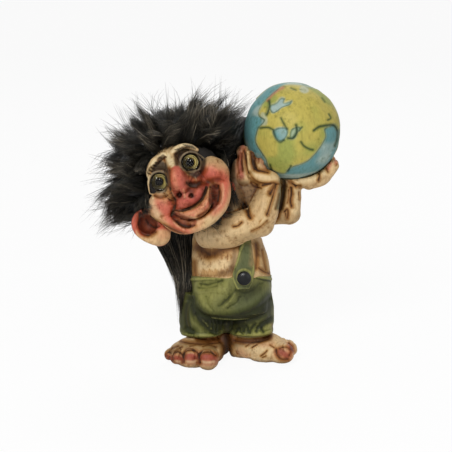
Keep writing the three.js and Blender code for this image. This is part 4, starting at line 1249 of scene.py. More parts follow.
@dataclass
class Arms:
    """The two arm castings with their hands, cut to the globe."""

    globe: Point = GLOBE_CENTRE
    globe_radius: float = 26.0
    seat_gap: float = 0.2
    right: tuple[Point, Point, Point] = ((-9.4, -12, 71), (16.2, -19.5, 78.6), (21.4, -14.2, 97))
    left: tuple[Point, Point, Point] = ((9.5, 0, 82), (31.6, -1.5, 80.8), (33.2, -2, 94.5))

    def on_globe(self, towards: Point, out: float) -> Point:
        """The point a distance outside the globe's skin, towards a point."""
        centre = Vector(self.globe)
        return tuple(centre + (Vector(towards) - centre).normalized() * (self.globe_radius + out))

    def finger(self, clay: Clay, root: Point, middle: Point, tip: Point, radius: float) -> None:
        """Add a finger that lies along the globe."""
        bend = self.on_globe(middle, radius * 1.05)
        end = self.on_globe(tip, radius * 0.75)
        outward = (Vector(bend) - Vector(self.globe)).normalized()
        half = tuple((Vector(bend) + Vector(end)) / 2 + outward * 0.3)
        clay.roll((root, bend, half, end), (radius * 1.15, radius * 1.05, radius * 0.86, radius * 0.84))

    def right_casting(self) -> bpy.types.Object:
        """The arm across the chest, with its hand behind the globe's lower side."""
        s, e, w = self.right
        clay = Clay("right_arm_casting")
        # Upper arm and elbow, forearm and wrist, palm, and the heel of the hand
        clay.roll((s, (s[0] + 10, s[1] - 6.5, s[2] + 2.8), (e[0] - 9, e[1] - 1.5, e[2] - 1.4), e),
                  (8.4, 9, 8.6, 7.8))
        clay.lump((s[0] + 1.8, s[1] - 1, s[2] - 5.4), (6, 5.8, 5.8))
        clay.roll((e, (e[0] + 2.4, e[1] + 0.6, e[2] + 7.4), (w[0] - 1, w[1] - 1, w[2] - 6), w),
                  (7.9, 7.8, 7.2, 6))
        clay.lump((w[0] - 2.4, w[1] + 0.4, w[2] + 4.6), (8.6, 6, 4.6), (0, 14, 0))
        clay.lump(self.on_globe((13.4, -11, 103.4), 4.4), (7.2, 4.8, 8.6), (0, -14, 0))
        clay.lump((w[0] - 9.6, w[1] + 3.4, w[2] - 4.5), (8.4, 5, 9.5))
        clay.roll(((5.6, -8, 107), (4.2, -9, 97), (3.0, -14.6, 89), (0.6, -15, 83.6), (-3, -13, 79)),
                  (3.6, 4.6, 5.2, 5.6, 5))
        self.finger(clay, (w[0] - 12.2, w[1] + 3.4, w[2] + 3), (7, -9, 106), (7.4, -7, 114), 3.9)
        self.finger(clay, (w[0] - 7.4, w[1] + 1.2, w[2] + 6), (11, -13, 107), (11.6, -12, 113), 3.1)
        self.finger(clay, (w[0] - 4, w[1] - 0.4, w[2] + 7), (16, -15, 106), (16.6, -15, 110.4), 2.9)
        arm = clay.pressed(5)
        self.seat(arm)
        return arm

    def left_casting(self) -> bpy.types.Object:
        """The arm behind the right one, with its palm and fingers under the globe."""
        s, e, w = self.left
        clay = Clay("left_arm_casting")
        clay.roll((s, ((s[0] + e[0]) / 2, s[1], (s[2] + e[2]) / 2 - 0.4), e), (9.2, 8.2, 7.1))
        clay.roll((e, (e[0] + 0.6, e[1], e[2] + 8.4), w), (7.2, 6.7, 5.7))
        clay.lump((w[0] - 0.2, w[1] + 0.4, w[2] + 3.4), (7.4, 7, 5))
        clay.lump((w[0] + 7.4, w[1] + 2.4, w[2] + 3.4), (9, 9.4, 4.4), (0, -10, 0))
        for i, y in enumerate((-5, 1.5, 8)):
            knuckle = (w[0] + 9.5, y, w[2] + 3.2 + i * 0.4)
            self.finger(clay, knuckle, (50, y + 0.5, 99), (57.5 - i, y + 1.5, 104.5 + i), 3.6 - i * 0.2)
        self.finger(clay, (w[0] - 1, w[1] + 8, w[2] + 4), (30, 12, 98), (27, 14, 100), 3.2)
        arm = clay.pressed(5)
        self.seat(arm)
        return arm

    def seat(self, arm: bpy.types.Object) -> None:
        """Cut the globe's seat into a hand."""
        ball = Clay("seat").lump(self.globe, (self.globe_radius + self.seat_gap,) * 3).pressed(0, 0.6)
        cut(arm, ball)
        recast(arm, VOXEL)
        soften(arm, 1)

    def dress_right(self, arm: bpy.types.Object) -> None:
        """Carve and paint the near arm and hand."""
        skin = Carving(arm, Paint.CREAM, Paint.SKIN_GLAZE)
        skin.roughen(62)
        skin.carve(strokes(RIGHT_ARM_RELIEF))
        skin.crease(strokes(RIGHT_ARM_CREASES))
        skin.paint(RIGHT_ARM_PAINT)
        specks = [(236 + 3.1 * k % 19, 184 + 4.7 * k % 17) for k in range(26)]
        skin.brush(Paint.UMBER, 0.6, *(Mark([speck], 0.7) for speck in specks))
        skin.paint(RIGHT_HAND_PAINT)
        skin.age(0.9, 0.8)
        skin.commit()

    def dress_left(self, arm: bpy.types.Object) -> None:
        """Carve and paint the far arm and hand."""
        skin = Carving(arm, Paint.CREAM, Paint.SKIN_GLAZE)
        skin.roughen(63)
        skin.carve(strokes(LEFT_ARM_RELIEF))
        skin.crease(strokes(LEFT_ARM_CREASES))
        skin.paint(LEFT_ARM_PAINT)
        skin.age(0.9, 0.8)
        skin.commit()


CHEST_RELIEF = """
belly
5 -0.6 | 203,266 212,264 224,264
2.4 -0.4 | 198,270 210,273 222,272
flank
2 -0.4 | 264,252 266,262 268,272
"""

CHEST_CREASES = """
under the arm
2.6 0.5 0.9 | 199,246 204,251 209,255
2.6 0.4 0.8 | 214,254 222,249 232,245 242,242
beside the brace
1.2 0.4 0.8 | 256.5,245 257,256 256.5,268
flank
0.8 0.3 0.6 | 262,250 264,260 266,270
1 0.4 0.7 | 259,268 264,271.5 269,273.5
right edge
1.4 0.4 0.7 | 194,262 194.6,270 195,277
"""

CHEST_PAINT = """
pale belly
PALE 0.45 patch 2 | 198,262 206,259 218,259 228,261 230,266 220,270 206,270 198,268
shade under the arm
BROWN 0.6 stroke 4 | 198,248 206,253 214,252 226,247 238,243
BROWN 0.6 stroke 3 | 220,274 228,272 233,268
BROWN 0.6 stroke 2.6 | 235,252 233,262 231,270
BROWN 0.6 stroke 2.4 | 256,243 258,255
flank and waist
STRAW 0.6 stroke 3 | 261,246 264,258 267,271
STRAW 0.6 stroke 1.6 | 200,276 216,276.5 230,274
"""


@dataclass
class Torso:
    """The bare chest and neck casting."""

    waist: Point = WAIST
    waist_tilt: float = WAIST_TILT

    def casting(self) -> bpy.types.Object:
        """Model the torso down to the waistband."""
        x, y, z = self.waist
        clay = Clay("torso_casting")
        clay.stack(((z - 6, x, y, 20.9, 18.9), (z + 1, x, y, 20.9, 18.9), (57, 1, -5, 20, 18),
                    (66, -0.4, -3.5, 18.8, 16.5), (72, -1.4, -3.5, 16, 13.5), (75, -5, -4, 11.8, 9.2)))
        for at in ((-9.4, -12, 71), (9.5, 0, 82)):
            clay.lump((at[0] * 0.92, at[1] + 4, at[2] - 2), (7.6, 9, 8.5))
        clay.roll(((-7, -4, 69), (-9, -4, 75), (-13, -5, 83)), (9.5, 8.5, 8))
        clay.lump((9, 8, 64), (8, 6, 9)).lump((-9, 8, 64), (8, 6, 9))
        torso = clay.pressed(12)
        tilt = math.radians(self.waist_tilt)
        centre = (x, y - math.sin(tilt) * 60, z - math.cos(tilt) * 60)
        cut(torso, Clay("below").slab(centre, (200, 200, 119), (-self.waist_tilt, 0, 0)).pressed(0, 3.0))
        return torso

    def dress(self, torso: bpy.types.Object) -> None:
        """Carve and paint the chest, flank and back."""
        skin = Carving(torso, Paint.CREAM, Paint.SKIN_GLAZE)
        skin.roughen(64, 0.3, 0.12)
        skin.carve(strokes(CHEST_RELIEF))
        hairs = [((x, 276.5 - 0.5 * (k % 3)), (x + 0.8, 272.2 - (k * 7 % 4)))
                 for k, x in enumerate(np.arange(201, 234, 1.5))]
        tufts = [((x, 252 + (k * 5 % 4)), (x + 1.6 - k % 3, 256.5 + (k * 3 % 4)))
                 for k, x in enumerate(np.arange(199, 232, 1.7))]
        skin.crease([(0.4, 0.12, 0.3, line) for line in hairs + tufts])
        skin.crease(strokes(CHEST_CREASES))
        skin.paint(CHEST_PAINT)
        skin.age(0.7, 0.6)
        skin.commit()


# Outlines of the braces, as x and z on the figure in millimetres

FRONT_BRACE = """
6.7,68.8 5.1,60.8 2.5,52.4 3.1,48.2 4.7,44.8 10.9,44.4 12.9,48.2 13.9,52.4 13.1,60.8 11.9,68.8
"""

BACK_BRACE = "3.6,40.8 9.6,41.4 14.2,62.8 13.6,78.8 8.8,78.8 9.8,63.8"

# Folds and paint of the trousers and braces

CLOTH_RELIEF = """
waistband
1.1 -0.55 | 190,279.5 205,278.6 218,278 232,276.5
1.1 -0.5 | 255,276 263,277.5 271,279
belly
2.2 -0.5 | 195,291 204,290 214,289 226,291
2 -0.5 | 224,307 230,301 234,294
2.4 -0.4 | 200,302 206,309 214,313
2.6 -0.4 | 258,300 264,294 268,286
right leg
2.4 -0.6 | 194,305 196,315 202,323 210,330
1.8 -0.6 | 186,302 184,314 185,326
hems
1.6 -0.5 | 183,334 192,334.6 202,336 215,334.5
1.6 -0.5 | 238,333 250,334 262,333.6 270,332
left thigh
2 -0.5 | 246,322 256,321 266,316
"""

CLOTH_CREASES = """
gathers below the waistband
1.3 0.4 0.3 | 200,284 207,284.8 213,283.6 222,281
1.4 0.35 0.25 | 199,288 208,288 216,286
folds of the belly
1.6 0.5 0.25 | 219,306 224,302 229,298 233,293
1.5 0.4 0.25 | 228,308 236,303 240,297
1.8 0.5 0.3 | 236,291 245,293 254,290 260,284
1.6 0.4 0.2 | 206,297 208,304 213,311
lower edge of the belly
2.8 1.1 1.3 | 190.5,299 193,307 198,313 205,317.6 214,319.4 224,319.6 236,318.4 248,315 258,310 266,304
   271,299
right side
2.2 1.1 1.2 | 187.6,301 184.6,309 184.4,320 186.4,328 192,332
0.9 0.5 0.8 | 190,302 188.6,311 188.6,320 190.4,328
legs
1.5 0.8 1 | 196,315 202,323 209,330 216,334
0.9 0.4 0.8 | 209,322 209.6,328
0.9 0.4 0.8 | 213,322 213.4,330
0.9 0.4 0.8 | 217,322 217,331
1.3 0.7 1 | 258,328 262,324 267,321 271,318
0.8 0.4 0.9 | 236,332 238,328 240,331 242.6,334
1.2 0.5 1 | 243,331 246,326.5 249,332
0.9 0.4 0.9 | 250,333 252,328 255,324.5
0.9 0.4 0.8 | 256.5,331 259.6,327 263.6,332
undersides of the hems
0.8 0.5 0.8 | 184,337.4 196,338.4 208,338.8 219,337.6
0.8 0.5 0.8 | 232,336.6 246,337.6 258,338 270,335.6
sides of the waist
1 0.4 0.7 | 190,282 191.4,290 191,298
0.6 0.3 0.6 | 253,277 262,279.6 270,281
"""

# painted light on the belly's right half, and light along the ridges of the right leg, its hem and the
# waistband
# painted shade in the gap between the legs
# painted shade on the left hip
# painted shade under the hems
CLOTH_PAINT = """
light on the belly
MOSS 0.55 patch 6 | 196,282 210,281 228,281 226,292 214,300 210,310 200,304 196,294
MOSS 0.6 stroke 2 | 186,300 184,312 186,326
MOSS 0.6 stroke 2.4 | 196,316 204,325 212,333
MOSS 0.6 stroke 1.8 | 184,334 200,336 216,334.5
MOSS 0.6 stroke 1.2 | 190,279.6 210,278.8 232,276.6
MOSS 0.6 stroke 1.2 | 255,276.6 263,278 271,279.4
straw hems
STRAW 0.6 stroke 1.6 | 238,336 250,337 262,336 270,333
STRAW 0.6 stroke 1.3 | 184,337 200,338.6 218,337.4
STRAW 0.6 stroke 1.4 | 271,324 270.6,332
torn left hem
MOSS 0.9 patch 0.8 | 237,333.5 240,329.6 243,333 246.4,335 250,331 252.4,328.6 256,333 260,331 264,326
   271,324 270,334 254,336 240,336
left hip
PINE 0.5 patch 6 | 240,296 256,292 268,290 270,298 258,308 240,315 232,312
shade under the belly
DEEP 0.75 patch 2.4 | 192,304 200,314 210,319.5 222,321 220,333 212,333 203,326 194,316
DEEP 0.75 patch 3 | 226,321 240,319.6 256,314 270,304 272,316 262,320 248,325 236,330 228,332
shade under the brace
DEEP 0.6 patch 5 | 238,283 248,285 258,284 262,290 254,298 244,302 238,294
slit in the left leg
DEEP 0.8 stroke 2.4 | 261,327 265,323 270,320
DEEP 0.8 stroke 1.6 | 238,330 242,326
brown right edge
BROWN 0.6 stroke 2 | 186.6,305 186,316 188,328
gap between the legs
SOOT 0.7 stroke 2.6 | 225,323 226,331 226,340
under the hems
BROWN 0.5 stroke 1.4 | 184,340 200,341 218,340
BROWN 0.5 stroke 1.4 | 232,339 250,340 268,338
"""

STRAP_RELIEF = """
sewn edge
0.8 -0.25 | 243,244 239.5,254 236.5,264 232.6,274 235.6,284
   239.6,289.6 247.6,290 251.6,284 252.6,275 254.6,262 255.6,250
"""

STRAP_PAINT = """
dark middle
PINE 0.6 patch 3 | 240,245 255,245 253,262 251,272 255,282 248,288 238,288 234,280 236,268 241,258
light edges
MOSS 0.75 stroke 1 | 244,243 240,252 237,262 232,274 235,284 239,290 248,291 252,284 253,275 255,262 256,250
straw light
STRAW 0.55 stroke 2.6 | 252.6,244 253,254 252,264
"""

TAB_PAINT = """
edge of the six-sided tab
MOSS 0.85 stroke 0.9 | 237.2,277 238.5,271.8 244,269.4 249.6,271.8 251,277 249.6,282.4 244,284.8 238.4,282.4
   237.2,277
"""


@dataclass
class Trousers:
    """The rolled trousers with their waistband, hems, braces and button."""

    waist: Point = WAIST
    waist_tilt: float = WAIST_TILT
    legs: tuple[float, float] = LEGS
    leg_y: float = LEG_Y
    hem: float = 14.8
    button: tuple[float, float] = (8.3, 50.8)

    def casting(self) -> bpy.types.Object:
        """Model the belly, both legs and the hems."""
        x, y, z = self.waist
        low = z - 20.5
        clay = Clay("trousers_casting")
        clay.stack(((low, x, y - 1.5, 15, 14), (low + 3, x, y - 1.5, 20.2, 18.6),
                    (low + 8.5, x, y - 0.5, 21.7, 20.1), (low + 14, x, y, 21.7, 19.9),
                    (z + 8, x, y, 21.5, 19.5)))
        clay.lump((x - 4.2, y + 9.5, z - 12), (22.4, 11.5, 12.5))
        clay.lump((x - 2.4, self.leg_y + 1, self.hem + 7.4), (5.4, 9, 8))
        for leg in self.legs:
            inner = -math.copysign(1, leg)
            hem, row = self.hem, self.leg_y
            clay.stack(((hem, leg, row, 11.3, 11.5),
                        (hem + 6, leg - inner * 0.3, row + 0.4, 12.2, 12.5),
                        (hem + 14, leg + inner * 0.8, row + 1, 13, 14),
                        (hem + 24, leg + inner * 4, row + 1, 14.5, 15.5)))
            clay.stack(((hem, leg, row, 12.1, 12.3), (hem + 2.4, leg, row, 12.1, 12.3)))
        trousers = clay.pressed(4)
        tilt = math.radians(self.waist_tilt)
        centre = (x, y + math.sin(tilt) * 60, z + math.cos(tilt) * 60)
        cut(trousers, Clay("above").slab(centre, (200, 200, 120), (-self.waist_tilt, 0, 0)).pressed(0, 3.0))
        for leg in self.legs:
            hollow = Clay("hollow").rod((leg, self.leg_y, self.hem - 2), (leg, self.leg_y, self.hem + 3), 9.2)
            cut(trousers, hollow.pressed(0, 0.5))
        recast(trousers, VOXEL)
        soften(trousers, 1)
        return trousers

    def dress(self, trousers: bpy.types.Object) -> None:
        """Carve the folds, slit and torn hem, and paint the cloth."""
        cloth = Carving(trousers, Paint.OLIVE, Paint.CLOTH_GLAZE)
        folds = Grain(5)
        p = cloth.points
        body = smooth(20, 26, p[:, 2])
        waves = folds.at(p, (7, 7, 26)) * 0.35 + folds.at(p, (4, 4, 9)) * 0.12
        cloth.press(waves * body * (0.5 + 0.5 * smooth(0.2, -0.2, -cloth.facing + 0.5)))
        cloth.carve(strokes(CLOTH_RELIEF))
        cloth.crease(strokes(CLOTH_CREASES))
        cloth.paint(CLOTH_PAINT)
        cloth.age(0.8, 0.7)
        cloth.commit()

    def brace(self, name: str, outline: str, back: bool) -> bpy.types.Object:
        """Model a strap that lies on the body, inside an outline of x and z."""
        corners = path(outline)
        clear_selection()
        bpy.ops.mesh.primitive_circle_add(vertices=len(corners), radius=1.0, fill_type="NGON")
        strap = bpy.context.object
        strap.name = strap.data.name = name
        depth = 60 if back else -60
        for vertex, (x, z) in zip(strap.data.vertices, corners):
            vertex.co = (x, 0, z)
        bpy.ops.object.mode_set(mode="EDIT")
        bpy.ops.mesh.select_all(action="SELECT")
        bpy.ops.mesh.extrude_region_move(TRANSFORM_OT_translate={"value": (0, depth, 0)})
        bpy.ops.mesh.select_all(action="SELECT")
        bpy.ops.mesh.normals_make_consistent(inside=False)
        bpy.ops.object.mode_set(mode="OBJECT")
        cut(strap, self.body(1.4), "INTERSECT")
        cut(strap, self.body(0.25))
        recast(strap, 0.3 if FINE else 0.45)
        soften(strap, 3)
        return strap

    def body(self, grow: float) -> bpy.types.Object:
        """The belly and chest under the braces, made bigger by a distance."""
        x, y, z = self.waist
        clay = Clay("body")
        clay.stack(((z - 12, x, y - 0.5, 21.7 + grow, 20.1 + grow), (z - 4, x, y, 21.7 + grow, 19.9 + grow),
                    (z + 2, x, y, 21.2 + grow, 19.3 + grow), (57, 1, -5, 20 + grow, 18 + grow),
                    (66, -0.4, -3.5, 18.8 + grow, 16.5 + grow), (74, -1.4, -3.5, 15 + grow, 12.5 + grow)))
        clay.lump((8.74, 4, 80), (7.6 + grow, 9 + grow, 8.5 + grow))
        return clay.pressed(4, 0.6)

    def button_form(self) -> bpy.types.Object:
        """Model the domed button."""
        x, z = self.button
        return Clay("button_dome").lump((x, -27.8, z), (3.75, 1.75, 3.75), (-4, 0, 0)).pressed(2, 0.2)

    def dress_strap(self, strap: bpy.types.Object) -> None:
        """Paint a brace: green cloth with a light sewn edge."""
        cloth = Carving(strap, Paint.OLIVE, Paint.CLOTH_GLAZE)
        cloth.paint(STRAP_PAINT)
        cloth.carve(strokes(STRAP_RELIEF))
        cloth.paint(TAB_PAINT)
        cloth.age(0.7, 0.5)
        cloth.commit()


RIGHT_FOOT_CREASES = """
toes
1 0.6 1 | 199.5,363 198.6,357 200.4,353 205,351.4 211,351.6 216,355
1 0.6 1 | 183.4,362 183,356 185,351.6 189,349.6 195,350.6 198.6,354
1 0.6 1 | 172.6,361 172,356 174,352.6 178,351.6 182.4,355
0.9 0.5 0.9 | 165,357 165.6,354 168,352 172,353.6
instep
0.8 0.4 0.6 | 203,346 209,344.6 216,346.6
0.6 0.3 0.7 | 168,352 172,348.6 178,346
0.6 0.3 0.7 | 171,354.6 176,350 182,347
0.5 0.3 0.6 | 176,352.6 181,349.4
0.6 0.3 0.6 | 190,346 196,344.6
under the hem
0.9 0.4 0.8 | 181,341 192,343 206,343.6 220,342
"""

RIGHT_FOOT_PAINT = """
instep
BROWN 0.55 stroke 3.4 | 172,351 180,346 192,344 206,344 218,345
STRAW 0.6 stroke 2.6 | 172,350 184,347 200,347.4 215,348
toes
SALMON 0.75 stroke 4.6 | 202,359 208.5,360 214.6,358.6
SALMON 0.75 stroke 4.2 | 186.4,358.6 191.6,359 197,357
SALMON 0.75 stroke 3.8 | 174.6,358.6 180,359
SALMON 0.75 stroke 3 | 166.4,357 169.4,359
BRICK 0.55 stroke 4.2 | 202,361 208.5,362 214.6,361
BRICK 0.55 stroke 3.4 | 187,360 191.6,361 196.4,359.6
BRICK 0.55 stroke 3 | 174.6,360 179,360.6
nails
BRICK 0.85 stroke 3.2 0.6 | 203.6,357 208.5,356.6 213,358.6
BRICK 0.85 stroke 2.8 0.6 | 187.4,356.6 191.6,356 195,358
BRICK 0.85 stroke 2.2 0.6 | 175.6,357.6 179.4,358
BRICK 0.85 stroke 1.7 0.6 | 167.6,356 169.6,357.6
roots of the nails
ROSE 0.5 stroke 1.6 | 205,355.6 211,355.8
ROSE 0.5 stroke 1.4 | 189,355 193.6,355.4
tips of the toes
PALE 0.5 stroke 1.2 | 202,361.6 208,362.6 214,361.6
PALE 0.5 stroke 1.1 | 186,361.4 192,362 197,360.6
PALE 0.5 stroke 1 | 174,361 180,361.6
"""

LEFT_FOOT_CREASES = """
toes
0.9 0.4 0.9 | 276,349.6 277,355 281,359.4 288,359.6
0.7 0.3 0.8 | 279,348.4 283,347 288,347.6 290.6,351 289.6,355.6
0.8 0.4 0.9 | 289,343.6 292,346.6 292.6,350.6
side of the foot
0.6 0.3 0.8 | 261,356 264.6,353.4 267,350.6
0.5 0.3 0.7 | 262.6,357.6 266,356
0.6 0.3 0.6 | 246,346.4 252,343 260,341
0.6 0.3 0.6 | 252,347.6 257,344.6
under the hem
0.9 0.4 0.8 | 234,340.6 246,342.6 258,342 268,338.6
instep
0.5 0.3 0.6 | 270,345 274,347.4
"""

LEFT_FOOT_PAINT = """
instep
BROWN 0.5 stroke 2.8 | 232,344 244,343 258,341.6 270,339
side of the foot
PALE 0.4 stroke 4 | 250,352 262,350 272,352
PALE 0.4 stroke 3 | 240,358 252,360 264,360
PEACH 0.5 stroke 3.6 | 240,352 246,356
PEACH 0.5 stroke 2.6 | 262,345 272,344
toes
SALMON 0.7 stroke 4.4 | 279,352.6 284,354.6 288.4,355.6
SALMON 0.7 stroke 3 | 289.6,345.6 292,350
nails
BRICK 0.85 stroke 3 0.6 | 281,351.6 284,353.6 286.4,355.6
BRICK 0.85 stroke 1.3 0.6 | 290.6,346.6 291.4,349
"""


@dataclass
class Feet:
    """The two bare feet."""

    legs: tuple[float, float] = LEGS
    leg_y: float = LEG_Y

    def casting(self, side: int) -> bpy.types.Object:
        """Model a foot: -1 is the troll's right one, 1 its left."""
        if side < 0:
            name = "right_foot_casting"
            heel, ball = ((-13, 3, 6), (8.6, 9.5, 8.5)), ((-18.2, -13.5, 5.8), (13.6, 11.5, 8), -14)
            toes = (((-10.8, -20.6, 5), 6.2, -4), ((-20, -20, 4.8), 4.9, -10),
                    ((-26.8, -16.6, 4.5), 4.1, -20), ((-30.6, -12, 4.6), 3.3, -30))
        else:
            name = "left_foot_casting"
            heel, ball = ((8.2, 1.5, 6), (8.6, 9, 8.5)), ((19.5, -4.6, 6), (13.4, 11.6, 8), -36)
            toes = (((28, -12, 5.1), 6.1, 58), ((31.6, -4.4, 5.2), 4.5, 64), ((31.4, 2.4, 4.7), 3.8, 72),
                    ((28.4, 7.6, 4.5), 3.3, 84))
        leg = self.legs[0 if side < 0 else 1]
        clay = Clay(name)
        clay.lump(*heel).lump(ball[0], ball[1], (0, 0, ball[2]))
        if side < 0:
            clay.lump((-8.8, -8, 5.8), (7, 10, 7.4)).lump((-5.1, 1, 7.2), (4.9, 9, 8.4))
            clay.lump((-3, -1, 9), (5.6, 8.4, 8))
        else:
            clay.lump((3.6, 1, 7.2), (4.0, 9, 8.2)).lump((3.6, 0, 11), (4.0, 8.6, 6))
        for centre, radius, heading in toes:
            clay.lump(centre, (radius, radius * 1.35, radius * 0.98), (0, 0, heading))
        shin = ((leg, self.leg_y, 18.2), (leg, self.leg_y, 13), (leg, self.leg_y - 0.4, 9))
        clay.roll(shin, (7.8, 8.2, 9.3))
        foot = clay.pressed(3)
        cut(foot, Clay("floor").slab((0, 0, -15), (200, 200, 30)).pressed(0, 3.0))
        recast(foot, VOXEL)
        self.nails(foot, toes)
        return foot

    def nails(self, foot: bpy.types.Object, toes: Sequence[tuple[Point, float, float]]) -> None:
        """Cut the gap round each toe and raise its nail."""
        form = Carving(foot, Paint.CREAM, Paint.SKIN_GLAZE)
        depths = np.zeros(len(form.points))
        for centre, radius, heading in toes:
            turn = math.radians(heading)
            ahead = np.array((math.sin(turn), -math.cos(turn), 0.0))
            local = form.points - np.array(centre) - ahead * radius * 0.95
            across = local @ np.array((math.cos(turn), math.sin(turn), 0.0))
            along = local @ ahead
            up = form.points[:, 2] - centre[2]
            oval = (across / (radius * 0.62)) ** 2 + (along / (radius * 0.5)) ** 2
            top = smooth(0.1, 0.6, up / radius)
            gap = smooth(1.9, 1.3, oval) * smooth(0.8, 1.2, oval) * 0.35
            depths += (gap - smooth(1.2, 0.7, oval) * 0.2) * top
        form.press(depths)

    def dress(self, foot: bpy.types.Object, side: int) -> None:
        """Carve the wrinkles and paint the toes."""
        skin = Carving(foot, Paint.CREAM, Paint.SKIN_GLAZE)
        skin.roughen(65 + side)
        if side < 0:
            skin.crease(strokes(RIGHT_FOOT_CREASES))
            skin.paint(RIGHT_FOOT_PAINT)
        else:
            skin.crease(strokes(LEFT_FOOT_CREASES))
            skin.paint(LEFT_FOOT_PAINT)
            specks = [(250 + 2.2 * k % 11, 346 + 1.7 * k % 6) for k in range(9)]
            skin.brush(Paint.UMBER, 0.5, *(Mark([speck], 0.5) for speck in specks))
        # Painted shade between the legs and under both hems; soot painted on the web between the feet stands
        # for the shade there.
        between = stroke("224,326 226,336 227,346 227,356", 5.0)
        right_hem = stroke("198,338.6 212,340.4 226,339", 2.6)
        left_hem = stroke("232,339.6 250,341 270,337", 2.4)
        web = stroke("226,330 226.6,340 226.6,354", 4.6)
        skin.shade(0.9, between, right_hem, left_hem)
        skin.tint(Paint.SOOT, skin.cover(web) * 0.85)
        # Painted shade: brown on the lowest 3 mm of the foot, where it meets the floor.
        low = smooth(3.2, 0.6, skin.points[:, 2])
        skin.tint(Paint.BROWN, low * 0.5)
        skin.age(0.9, 0.7)
        skin.commit()


COAST_LINE = """
283,86 276,92 270,97 266,101 262,106 259,112 260,116 265,120 263,124 259,128 257,134 256,140 258,146
262,152 267,160 270,168 283,173 288,169 293,166 300,164 308,160 314,154 318,149 322,143 325,136 324,129
330,126 334,125 338,130 340,125 339,118 336,110 331,101 325,95 318,90 310,88 296,85
"""

LAKES = (
    "270,106 276,103 281,98 285,99 284,103 292,101 290,105 282,108 277,112 272,113",
    "274,130 279,127.5 286,128 288,133 285,139 280,141 276,138 273.5,133",
    "291,130 297,127 301,128 297,133 295,138 290,138",
)

GLOBE_PAINT = """
reef
REEF 0.75 stroke 1.5 | 268,101 272,96 277,91.6 283,88.4
pale seas
PALE_SEA 0.6 patch 1.2 | 300,88 304,87 308,89 308,92.6 304,94 300,92
PALE_SEA 0.5 patch 1.2 | 262,113 266,114 268,120 267,125 263,125 261,119
lakes
SEA 0.45 patch 1.5 | 274,130 279,127.5 286,128 288,133 285,139 280,141 276,138 273.5,133
GRASS 0.45 patch 1.2 | 291,130 297,127 301,128 297,133 295,138 290,138
"""

GLOBE_CREASES = """
cracks on the upper left
0.7 0.4 1 | 269,101 269.5,106 268,111 266.5,114.5
round the lakes
0.6 0.3 0.9 | 273,130 274.5,135 276.5,139.5 280,142 284,140
0.7 0.4 0.9 | 296,125 297,131 295,136 292,138.5 288,138
0.5 0.3 0.7 | 302,127 299,131
lower right
0.6 0.3 0.8 | 301,142 304,146 309,149 313,150
right
0.7 0.4 0.9 | 314,130.5 319,127 326,125.5 333,125 336.5,128 338,134 337,140 335,146
left
0.6 0.3 0.8 | 260,128 268,127.5 273,130
0.6 0.3 0.7 | 281,118 284,124 287,129
right edge
0.5 0.3 0.7 | 329,114 331,118 328,120
0.5 0.2 0.5 | 322,98 325,102
0.5 0.2 0.5 | 291,88 296,90
below
0.6 0.3 0.8 | 270,165 272,171 276,174
0.5 0.3 0.7 | 291,166 288,171
"""


@dataclass
class Globe:
    """The painted ball with raised land and old cracks."""

    centre: Point = GLOBE_CENTRE
    radius: float = 25.5
    land_rise: float = 0.5

    def casting(self) -> bpy.types.Object:
        """Model the smooth ball; its unevenness, as of a hand-formed one, is pressed in when it is dressed.
        """
        clear_selection()
        bpy.ops.mesh.primitive_ico_sphere_add(subdivisions=7 if FINE else 6, radius=self.radius - 0.1)
        ball = bpy.context.object
        ball.name = ball.data.name = "globe_casting"
        ball.data.transform(Matrix.Translation(self.centre))
        return ball

    def far_land(self, ball: Carving) -> Array:
        """Land of no real coast, on the side that the camera doesn't see."""
        away = (ball.points - np.array(self.centre)) / self.radius
        shape = Grain(31).at(ball.points, 17) + 0.35 * Grain(32).at(ball.points, 6)
        hidden = smooth(0.12, -0.06, -(away @ np.array(SHEET.ahead)))
        return smooth(0.02, 0.1, shape) * hidden

    def dress(self, ball: bpy.types.Object) -> None:
        """Raise the land, carve the cracks and paint the sea and land."""
        skin = Carving(ball, Paint.SEA, Paint.GLOBE_GLAZE)
        lumps = Grain(21).at(skin.points, 13) * 0.34 + Grain(22).at(skin.points, 4.6) * 0.12
        skin.press(lumps)
        covers = []
        for edge_width, lake_width in ((0.7, 0.7), (2.8, 1.5)):
            cover = skin.cover(patch(COAST_LINE, edge_width))
            for lake in LAKES:
                cover = cover * (1 - skin.cover(patch(lake, lake_width)))
            covers.append(np.maximum(cover, self.far_land(skin)))
        cover, painted = covers
        sway = 0.5 + 0.5 * Grain(23).at(skin.points, (9, 9, 6))
        skin.tint(Paint.PALE_SEA, smooth(0.35, 0.85, sway) * 0.8)
        skin.tint(Paint.OCHRE, painted)
        skin.tint(Paint.GRASS, painted * smooth(0.4, 0.9, 0.5 + 0.5 * Grain(24).at(skin.points, 8)) * 0.8)
        broken = smooth(0.35, 0.75, 0.5 + 0.5 * Grain(25).at(skin.points, 6))
        edge = np.clip(1 - np.abs(cover - 0.42) / 0.4, 0, 1) * broken
        skin.wash = np.maximum(skin.wash, edge * 0.2)
        skin.stain_and_shade = np.maximum(skin.stain_and_shade, edge * 0.5)
        skin.paint(GLOBE_PAINT)
        skin.press(-cover * self.land_rise)
        skin.crease(strokes(GLOBE_CREASES))
        skin.age(0.7, 0.2)
        skin.commit()


# Wig


